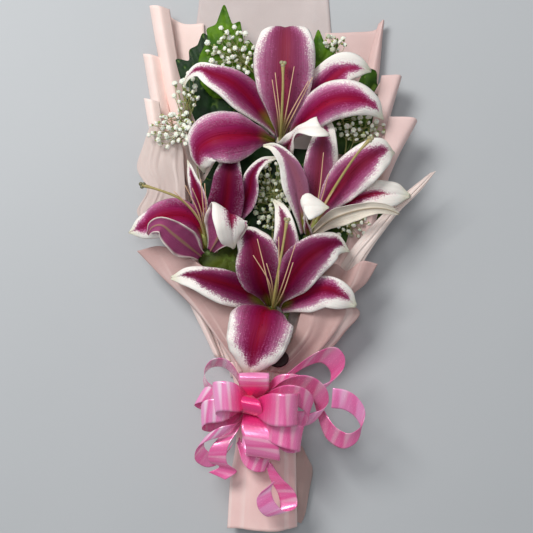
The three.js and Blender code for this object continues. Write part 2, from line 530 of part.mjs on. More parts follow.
// Each sheet: rows from the outer end to the waist, each row from the bunch's side outwards or
// from left to right.
const SHEETS = {
  wrap_left_pleat_1: { rows: 7, columns: 8, control: [
    [[-66, 256, 5], [-88, 256, 4], [-112, 270, 5], [-122, 272, 16], [-112, 270, 27], [-101, 268, 18]],
    [[-62, 190, 5], [-80, 190, 4], [-100, 205, 5], [-110, 206, 15], [-101, 204, 25], [-90, 202, 17]],
    [[-48, 80, 5], [-60, 80, 4], [-76, 88, 5], [-84, 90, 13], [-77, 90, 22], [-68, 90, 15]],
    [[-26, -60, 6], [-34, -60, 5], [-44, -58, 5], [-50, -57, 11], [-45, -57, 18], [-38, -57, 13]],
    [[-18, -100, 7], [-24, -100, 6], [-31, -100, 6], [-36, -100, 11], [-32, -100, 16],
      [-27, -100, 12]]] },
  wrap_left_pleat_2: { rows: 7, columns: 8, control: [
    [[-86, 190, 2.6], [-104, 205, 2.4], [-121, 221, 4], [-129, 222, 15], [-121, 220, 25],
      [-110, 218, 17]],
    [[-82, 140, 2.6], [-95, 148, 2.4], [-110, 158, 4], [-118, 159, 14], [-110, 158, 23], [-100, 156, 15]],
    [[-58, 30, 2.8], [-68, 34, 2.6], [-80, 38, 4], [-87, 40, 12], [-81, 40, 20], [-73, 40, 14]],
    [[-36, -70, 4], [-42, -70, 3.6], [-50, -70, 4], [-56, -70, 10], [-51, -70, 16], [-45, -70, 11]],
    [[-26, -102, 6], [-30, -102, 5], [-36, -102, 5], [-41, -102, 10], [-37, -102, 15],
      [-33, -102, 11]]] },
  wrap_left_pleat_3: { rows: 6, columns: 8, control: [
    [[-94, 140, 28], [-106, 156, 27], [-119, 172, 27], [-126, 173, 35], [-119, 171, 42], [-110, 169, 37]],
    [[-90, 90, 27], [-100, 104, 26], [-111, 118, 26], [-117, 119, 33], [-111, 118, 40], [-103, 117, 35]],
    [[-78, 0, 24], [-86, 8, 23], [-96, 14, 23], [-101, 15, 28], [-96, 15, 34], [-90, 15, 30]],
    [[-44, -96, 18], [-46, -95, 18], [-50, -94, 18], [-53, -94, 22], [-50, -94, 26], [-47, -94, 23]]] },
  wrap_left_panel: { rows: 10, columns: 4, control: [
    [[-88.3, 133.2, 45], [-102.5, 138.1, 46], [-117.8, 146.3, 46]],
    [[-85.2, 118.9, 45], [-105.5, 120.8, 46], [-125.9, 122.9, 46]],
    [[-84.2, 102.6, 44.5], [-107.6, 101.4, 46], [-132.1, 100.5, 45]],
    [[-83.2, 84.2, 44.5], [-102.5, 81.1, 45.5], [-121.8, 78, 46]],
    [[-82.2, 61.8, 44.5], [-106.6, 58.6, 45.5], [-132.1, 55.6, 45]],
    [[-81.1, 39.3, 44.5], [-102.5, 39.3, 45.5], [-122.9, 41.3, 45]]] },
  wrap_left_flap: { rows: 7, columns: 5, control: [
    [[-37.2, -13.8, 45], [-61.7, -1.5, 45], [-85.3, 12.8, 44], [-108.8, 20.9, 43], [-132.7, 15.9, 40]],
    [[-27.1, -29.1, 44], [-47.5, -25, 44], [-68, -19.9, 43], [-88.5, -14.8, 42], [-107, -10.8, 40]],
    [[-23, -46.5, 44], [-37.2, -47.4, 45], [-51.6, -47.5, 43], [-66, -44.5, 42], [-79.5, -37.4, 38]],
    [[-16.8, -77, 45], [-26, -78.9, 47], [-35.2, -79.1, 44], [-44.5, -76.2, 42], [-52.9, -69.4, 36]],
    [[-9.7, -106.8, 43], [-13.8, -107.7, 44], [-18.9, -108.9, 42], [-23, -108.1, 40],
      [-27.3, -106.4, 35]]] },
  wrap_right_pleat_1: { rows: 7, columns: 8, control: [
    [[62, 246, 3], [92, 247, 3], [114, 249, 4], [123, 256, 9], [122, 258, 15], [117, 254, 11]],
    [[66, 190, 3], [92, 190, 3], [108, 190, 4], [116, 190, 12], [109, 190, 20], [100, 188, 14]],
    [[60, 80, 3], [74, 80, 3], [90, 78, 4], [97, 78, 12], [90, 78, 20], [82, 78, 14]],
    [[34, -50, 4], [42, -50, 4], [50, -50, 5], [56, -50, 12], [50, -50, 18], [43, -50, 13]],
    [[8, -100, 6], [14, -100, 5], [20, -100, 5], [25, -100, 10], [20, -100, 15], [15, -100, 11]]] },
  wrap_right_pleat_2: { rows: 6, columns: 8, control: [
    [[98, 160, 24], [110, 178, 24], [123, 196, 25], [138, 194, 33], [136, 196, 42], [118, 196, 38]],
    [[88, 110, 22], [102, 122, 22], [115, 134, 23], [122, 134, 31], [116, 135, 38], [106, 134, 33]],
    [[64, 10, 20], [76, 14, 20], [88, 18, 21], [94, 18, 27], [88, 18, 33], [80, 18, 28]],
    [[26, -94, 16], [30, -93, 16], [34, -92, 16], [38, -92, 20], [35, -92, 25], [31, -92, 21]]] },
  wrap_right_pleat_3: { rows: 6, columns: 8, control: [
    [[112, 124, 44], [122, 138, 44], [130, 152, 44], [152, 146, 50], [150, 150, 58], [124, 152, 54]],
    [[102, 80, 38], [112, 88, 38], [120, 94, 38], [126, 94, 44], [121, 96, 50], [112, 94, 46]],
    [[76, 0, 34], [84, 4, 34], [94, 8, 34], [99, 8, 39], [95, 8, 44], [88, 8, 40]],
    [[40, -84, 28], [43, -83, 28], [46, -82, 28], [49, -82, 32], [47, -82, 36], [43, -82, 32]]] },
  wrap_right_panel: { rows: 7, columns: 4, control: [
    [[164.6, 94.1, 62], [167.6, 95.1, 62], [170.6, 96.1, 62]],
    [[139.9, 74.2, 58], [147.8, 74.2, 59], [156, 77.2, 58]],
    [[118.9, 54.2, 55], [126.8, 53.1, 57], [134.1, 55.2, 55]],
    [[98.8, 32.9, 53], [108.7, 30.8, 56], [119.1, 36, 53]],
    [[82.8, 12.7, 51], [92.7, 10.6, 54], [103.1, 12.7, 51]],
    [[54.5, -34.1, 47], [65.5, -36.1, 50], [76.9, -34.1, 47]],
    [[17.9, -93.5, 43], [23, -94.4, 45], [28.1, -93.5, 43]]] },
  wrap_right_flap: { rows: 10, columns: 8, control: [
    [[54, 0.5, 58], [69.8, 2.5, 64], [81.3, -4.5, 58], [95.8, 5.5, 66], [112.4, 2.5, 60]],
    [[47, -17.7, 56], [61.9, -17.6, 62], [75.2, -18.7, 58], [86.9, -15.6, 64], [101.6, -15.7, 57]],
    [[42, -36, 54], [54.9, -35.8, 60], [67.2, -35.9, 57], [76.1, -34.8, 61], [84.6, -33.9, 54]],
    [[35, -47.2, 52], [50, -48, 57], [64.3, -48.1, 54], [79.3, -43.9, 58], [94.9, -47.2, 51]],
    [[29, -66.6, 50], [43, -68.3, 56], [56.3, -68.4, 53], [68.2, -66.2, 57], [80.8, -65.5, 50]],
    [[17.8, -87.1, 47], [28.9, -88.7, 53], [40.1, -88.9, 50], [51.2, -87.8, 52], [63.7, -86.1, 46]],
    [[0.5, -105.8, 43], [7.6, -107.6, 46], [14.8, -108.7, 45], [20.9, -108.6, 46], [27.2, -108.2, 39]]] },
};

function paperSheet({ rows, columns, control }) {
  return thinPiece(smoothRows(control, rows, columns), PAPER_THICKNESS);
}

const BACK_SHEET = [[-70, 288], [65, 288], [72, 200], [66, 60], [48, -40], [26, -117], [-38, -117],
  [-62, -30], [-78, 80], [-82, 190]];

function backSheet() {
  const shape = new THREE.Shape(BACK_SHEET.map((corner) => new THREE.Vector2(...corner)));
  return joined((grow) => {
    const depth = BACK_SHEET_THICKNESS + grow;
    return toSolid(new THREE.ExtrudeGeometry(shape, { depth, bevelEnabled: false }));
  });
}

// Closed solid through rings of points: each ring is an upright oval [y, centre x, centre z, radii].
function ovalLoft(rings, sides) {
  const positions = [];
  const index = [];
  for (const [y, x, z, radiusX, radiusZ] of rings) {
    for (let k = 0; k < sides; k += 1) {
      const angle = (2 * Math.PI * k) / sides;
      positions.push(x + radiusX * Math.cos(angle), y, z + radiusZ * Math.sin(angle));
    }
  }
  for (let r = 0; r < rings.length - 1; r += 1) {
    for (let k = 0; k < sides; k += 1) {
      const next = (k + 1) % sides;
      const a = r * sides + k;
      const b = r * sides + next;
      index.push(a, a + sides, b + sides, a, b + sides, b);
    }
  }
  const lastRing = (rings.length - 1) * sides;
  for (let k = 1; k < sides - 1; k += 1) {
    index.push(0, k, k + 1);
    index.push(lastRing, lastRing + k + 1, lastRing + k);
  }
  const geometry = new THREE.BufferGeometry();
  geometry.setAttribute('position', new THREE.Float32BufferAttribute(positions, 3));
  geometry.setIndex(index);
  return toSolid(geometry);
}

const SLEEVE_RINGS = [
  [SLEEVE_END_Y, -5, 22, 38, 22], [-220, -4, 22, 36, 22], [-180, -2, 22, 32, 22],
  [NECK_Y - 24, -8, 22, 26, 21.5], [NECK_Y - 8, -7, 23.5, 28, 21], [NECK_Y + 12, -6, 24.5, 36, 22]];

// Loose edge of the rolled paper, down the right of the sleeve.
const SLEEVE_FLAP = [[[29.6, -184.1, 24], [36.9, -186.7, 21]], [[30.6, -196.7, 23], [43.3, -199.9, 16]],
  [[30.6, -209.2, 23], [48.2, -212, 12]], [[31.7, -232.2, 22], [44.6, -236.5, 10]],
  [[31.7, -255.1, 22], [40.3, -259.4, 11]], [[31.7, -265.5, 22], [36, -267.8, 16]]];

function sleeve() {
  return joined((grow) => {
    const swell = (amount, stretch) => SLEEVE_RINGS.map(([y, x, z, radiusX, radiusZ], i) => {
      const end = i === 0 ? -stretch : 0;
      const start = i === SLEEVE_RINGS.length - 1 ? stretch : 0;
      return [y + end + start, x, z, radiusX + amount, radiusZ + amount];
    });
    const inner = ovalLoft(swell(-SLEEVE_WALL - grow, 1 + grow), 20);
    const edge = slab(SLEEVE_FLAP.map((row) => row.map(vector)), SLEEVE_WALL, grow);
    return ovalLoft(swell(grow, grow), 20).add(edge).subtract(inner);
  });
}

// ---------------------------------------------------------------- ribbon

// A band along a path, with the direction of its width at both ends. It is gathered where it meets
// the knot: at both ends of a loop, and at the start of a tail.
function bandRows({ path, from, to, width = RIBBON_WIDTH, steps = 9, tail = 0 }) {
  const points = curveThrough(path).getSpacedPoints(steps);
  return points.map((point, i) => {
    const nearest = tail ? i / steps : Math.min(i, steps - i) / steps;
    const opened = THREE.MathUtils.smoothstep(nearest, 0, GATHER_LENGTH);
    const size = width * THREE.MathUtils.lerp(GATHER_WIDTH, 1, opened);
    const across = vector(from).lerp(vector(to), i / steps).setLength(size);
    return [-0.5, 0.5].map((share) => point.clone().addScaledVector(across, share));
  });
}

const KNOT = [-14, -136, 66];

const BOW_LOOPS = [
  // knot over the middle
  { from: [1, -0.25, 0.1], to: [1, -0.25, 0.1], width: 22, path: [
    [-19.4, -126.9, 76], [-17.2, -129.6, 88], [-15.2, -136.1, 91], [-14.3, -143.5, 87],
    [-14.4, -147.8, 76], [-16.5, -139.5, 70]] },
  // straight up, over the edge of the lowest petal
  { from: [1, 0, 0], to: [1, 0, 0], path: [
    [-13.5, -133.3, 72], [-12.3, -119.9, 86], [-12.3, -108.5, 92], [-12.3, -105, 87], [-12.4, -110.8, 78],
    [-13.5, -127.5, 70]] },
  // broad loop to the left
  { from: [-0.1, 1, 0.1], to: [-0.1, 1, 0.1], path: [
    [-16.4, -135.1, 74], [-28, -129.1, 92], [-40.6, -126.7, 97], [-50.6, -128.3, 91], [-50.1, -133.5, 79],
    [-34.5, -137.4, 71], [-18.5, -136.7, 68]] },
  // open cone to the right
  { from: [0.05, 1, 0], to: [0.05, 1, 0], width: 32, path: [
    [-14.5, -138, 74], [-2.5, -139, 92], [13.1, -139.7, 103], [25.9, -140, 100], [31, -140.3, 89],
    [17.4, -139.6, 78], [-10.5, -137.7, 68]] },
  // flat loop down and to the right
  { from: [0.15, 1, 0], to: [0.15, 1, 0], width: 25, path: [
    [-12.5, -143.5, 70], [-0.5, -157.7, 84], [15.2, -164.5, 92], [30, -168.9, 89], [35.2, -171.1, 80],
    [21.5, -173.5, 70], [-8.5, -150.2, 64]] },
  // loop straight down
  { from: [1, -0.15, 0.1], to: [1, -0.15, 0.1], width: 34, path: [
    [-16.5, -143.5, 70], [-10.4, -159.7, 84], [-4.4, -177.2, 86], [-3.5, -190.3, 78], [-6.5, -186.1, 66],
    [-14.6, -152.5, 62]] },
  // long loop up and to the right
  { from: [0.5, 0.72, 0.25], to: [0.55, 0.5, 0.65], width: 24, path: [
    [-4.5, -131.7, 68], [13.4, -114.9, 76], [31.2, -100.5, 82], [46, -91.4, 84], [60.9, -87.6, 82],
    [70, -95.9, 78], [70.3, -107.2, 74], [61.5, -118.5, 70], [41.6, -127.9, 66], [-0.5, -138.4, 62]] },
  // thin loop up and to the left, standing on its edge
  { from: [0.1, 0.42, 0.9], to: [0.1, 0.42, 0.9], width: 24, path: [
    [-20.6, -129.9, 66], [-30.5, -107.5, 70], [-42.4, -96.2, 74], [-55.3, -97.2, 74], [-62.4, -107.3, 72],
    [-59.5, -119.6, 69], [-42.6, -127.9, 66], [-20.6, -136.2, 64]] },
  // low loop to the left
  { from: [0.2, 1, 0.3], to: [-0.2, 1, 0.3], width: 26, path: [
    [-18.5, -137.5, 70], [-40.2, -142.3, 80], [-60.1, -144.6, 78], [-64.6, -151.7, 68],
    [-52.9, -154.7, 60], [-20.6, -144.4, 62]] },
  // pointed loop to the left
  { from: [0.5, 0.86, 0.2], to: [0.5, 0.86, 0.2], width: 20, path: [
    [-18.6, -133.9, 66], [-40.6, -129.7, 68], [-59.5, -127.5, 70], [-67.8, -131.1, 64],
    [-59.1, -136.9, 57], [-22.7, -138.6, 60]] },
  // curled tail down and to the left
  { from: [0.7, 0.7, 0.2], to: [0.45, 0.8, 0.6], width: 19, steps: 14, tail: 1, path: [
    [-20.6, -144, 66], [-34.4, -161, 74], [-52.2, -166.5, 77], [-64.5, -175.5, 70], [-66.9, -188.7, 62],
    [-56, -196.4, 58], [-42.8, -191.7, 62], [-36.6, -181.8, 68]] },
  // short tail crossing the curl
  { from: [0.8, 0.5, 0.2], to: [0.75, -0.3, 0.2], width: 19, steps: 12, tail: 1, path: [
    [-22.6, -146.4, 62], [-36.6, -165.9, 67], [-47.5, -181.5, 70], [-48.7, -196.1, 66],
    [-38.8, -204.3, 59], [-50.1, -211.9, 56]] },
  // falling loop to the right
  { from: [0.35, 0.6, 0.7], to: [0.35, 0.6, 0.7], width: 27, path: [
    [-4.5, -131.3, 72], [17.3, -116.2, 84], [39, -116, 86], [54.1, -128.4, 80], [55.5, -145.5, 70],
    [37.8, -154.7, 60], [1.5, -144.7, 60]] },
  // inner loop to the right
  { from: [0.2, 0.8, 0.5], to: [0.2, 0.8, 0.5], width: 24, path: [
    [-6.5, -131.5, 70], [15.3, -125.6, 88], [35, -129.6, 88], [44.2, -141.6, 78], [35.6, -154, 66],
    [-2.5, -146.4, 62]] },
  // hot pink fold above the cone
  { from: [0.3, 0.95, 0.1], to: [0.3, 0.95, 0.1], width: 26, path: [
    [-8.5, -133.9, 66], [5.5, -120.7, 78], [21.3, -118.3, 82], [29.4, -120.9, 76], [17.5, -125.7, 68],
    [-8.6, -136.4, 62]] },
  // diagonal tail under the bow
  { from: [0.35, 1, 0.1], to: [0.5, 0.9, 0.1], width: 15, path: [
    [-28.8, -175.5, 56], [-20.6, -192.7, 62], [-8.5, -199.1, 66], [1.5, -198.8, 62], [-0.5, -187.9, 54],
    [-12.6, -155.2, 56]] },
];

const RIBBON_TAILS = {
  ribbon_tail_right: { from: [0.35, 0.6, 0.7], to: [0.05, 0.92, 0.35], width: 22, steps: 18, path: [
    [50.1, -133, 56], [56, -151, 58], [64.8, -167.3, 64], [79.5, -174.5, 70], [92, -166.7, 76],
    [95.6, -152, 82], [88.2, -138.4, 88], [77.2, -131.2, 91], [64.3, -129.1, 92]] },
  ribbon_tail_bottom: { from: [1, -0.3, 0.2], to: [0.75, 0.65, 0.1], width: 18, steps: 16, path: [
    [1.5, -197.1, 60], [9.6, -213.2, 60], [20.7, -230.1, 56], [21.7, -243.9, 58], [10.6, -248.7, 64],
    [0.5, -239.5, 70], [-2.5, -226.8, 74], [1.5, -218.1, 78]] },
};

function bow() {
  return joined((grow) => {
    let solid = ball(KNOT, [13 + grow, 12 + grow, 9 + grow], 1);
    for (const loop of BOW_LOOPS) {
      solid = solid.add(slab(bandRows(loop), RIBBON_THICKNESS, grow));
    }
    return largestBody(solid);
  });
}

const TIE_WIDTH = 12;
const TIE_Y = -128;

function tie() {
  return joined((grow) => {
    const ends = [TIE_Y - TIE_WIDTH / 2 - grow, TIE_Y + TIE_WIDTH / 2 + grow];
    const ring = (size, stretch) => ovalLoft([
      [ends[0] - stretch, -8, 23, 27.5 + size, 21.5 + size],
      [ends[1] + stretch, -8, 23, 27.5 + size, 21.5 + size]], 20);
    return ring(1 + grow, 0).subtract(ring(0, 1));
  });
}

// ---------------------------------------------------------------- seal

const SEAL_AT = [11.5, -92.5, 63];
const SEAL_RADII = [11, 9];
const SEAL_THICKNESS = 1;

function seal() {
  return joined((grow) => {
    const depth = SEAL_THICKNESS + 2 * grow;
    const geometry = new THREE.CylinderGeometry(1, 1, depth, 24);
    geometry.rotateX(Math.PI / 2);
    geometry.scale(SEAL_RADII[0] + grow, SEAL_RADII[1] + grow, 1);
    geometry.translate(...SEAL_AT);
    return toSolid(geometry);
  });
}

// ---------------------------------------------------------------- assembly

// Pieces are added in this order; a later piece is cut clear of the earlier ones that it meets.
const pieces = [];

function addPiece(name, paint, { solid, keepout }) {
  let trimmed = solid;
  for (const other of pieces) {
    const overlap = trimmed.intersect(other.keepout);
    if (!overlap.isEmpty()) trimmed = trimmed.subtract(other.keepout);
  }
  trimmed = largestBody(trimmed).simplify(SLIVER);
  pieces.push({ name, paint, solid: trimmed, keepout });
}

addPiece('wrap_back_sheet', 'paper', backSheet());
addPiece('wrap_sleeve', 'paper', sleeve());
addPiece('ribbon_tie', 'ribbon', tie());
for (const [flower, parts] of Object.entries(FLOWERS)) {
  addPiece(`${flower}_stem`, 'stem', flowerStem(parts));
}
for (const [flower, parts] of Object.entries(FLOWERS)) {
  for (const [name, shape] of Object.entries(parts.petals)) {
    const inner = name.startsWith('inner');
    addPiece(`${flower}_petal_${name}`, inner ? 'innerPetal' : 'outerPetal', petal(shape, inner));
  }
  addPiece(`${flower}_pistil_and_filaments`, 'pistil', pistilWithFilaments(parts));
}
addPiece('ribbon_bow', 'ribbon', bow());
for (const [name, tail] of Object.entries(RIBBON_TAILS)) {
  addPiece(name, 'ribbon', thinPiece(bandRows({ ...tail, tail: 1 }), RIBBON_THICKNESS));
}
addPiece('oval_seal', 'seal', seal());
for (const [name, sheet] of Object.entries(SHEETS)) addPiece(name, 'paper', paperSheet(sheet));
for (const [name, shape] of Object.entries(LEAVES)) addPiece(name, 'leaf', leaf(shape));
for (const [name, shape] of Object.entries(SPRAYS)) addPiece(name, 'breath', spray(shape));

const bunch = new THREE.Group();
for (const { name, paint, solid } of pieces) {
  const mesh = new THREE.Mesh(toGeometry(solid), material(paint));
  mesh.name = name;
  bunch.add(mesh);
}

// The origin goes under the middle of the bunch.
const extent = new THREE.Box3().setFromObject(bunch);
const middle = extent.getCenter(new THREE.Vector3());
bunch.position.set(-middle.x, -middle.y, -extent.min.z);

export default bunch;
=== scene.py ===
"""Four cut lilies, greens and baby's breath in a paper wrap with a pull bow, lying on their back.

Metres, +Z up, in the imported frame. The tables below are in millimetres, measured from one common
point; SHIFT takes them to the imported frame, from the place of the back sheet.
"""
import math

import bpy
import numpy as np
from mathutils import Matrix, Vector, geometry, noise


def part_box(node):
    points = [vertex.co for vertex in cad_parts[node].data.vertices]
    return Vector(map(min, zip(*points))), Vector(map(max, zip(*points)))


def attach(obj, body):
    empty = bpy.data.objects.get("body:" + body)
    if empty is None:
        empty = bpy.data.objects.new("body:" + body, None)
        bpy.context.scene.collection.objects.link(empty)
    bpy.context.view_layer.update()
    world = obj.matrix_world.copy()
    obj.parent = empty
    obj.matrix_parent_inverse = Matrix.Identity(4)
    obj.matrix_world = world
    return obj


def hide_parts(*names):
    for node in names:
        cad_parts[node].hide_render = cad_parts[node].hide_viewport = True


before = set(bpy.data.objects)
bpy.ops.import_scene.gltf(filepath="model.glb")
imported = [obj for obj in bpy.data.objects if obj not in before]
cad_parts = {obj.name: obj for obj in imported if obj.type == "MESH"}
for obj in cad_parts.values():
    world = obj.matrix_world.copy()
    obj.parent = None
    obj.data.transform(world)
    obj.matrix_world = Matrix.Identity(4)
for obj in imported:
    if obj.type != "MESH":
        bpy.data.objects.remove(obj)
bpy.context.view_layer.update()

# ---------------------------------------------------------------- shared tables, in millimetres

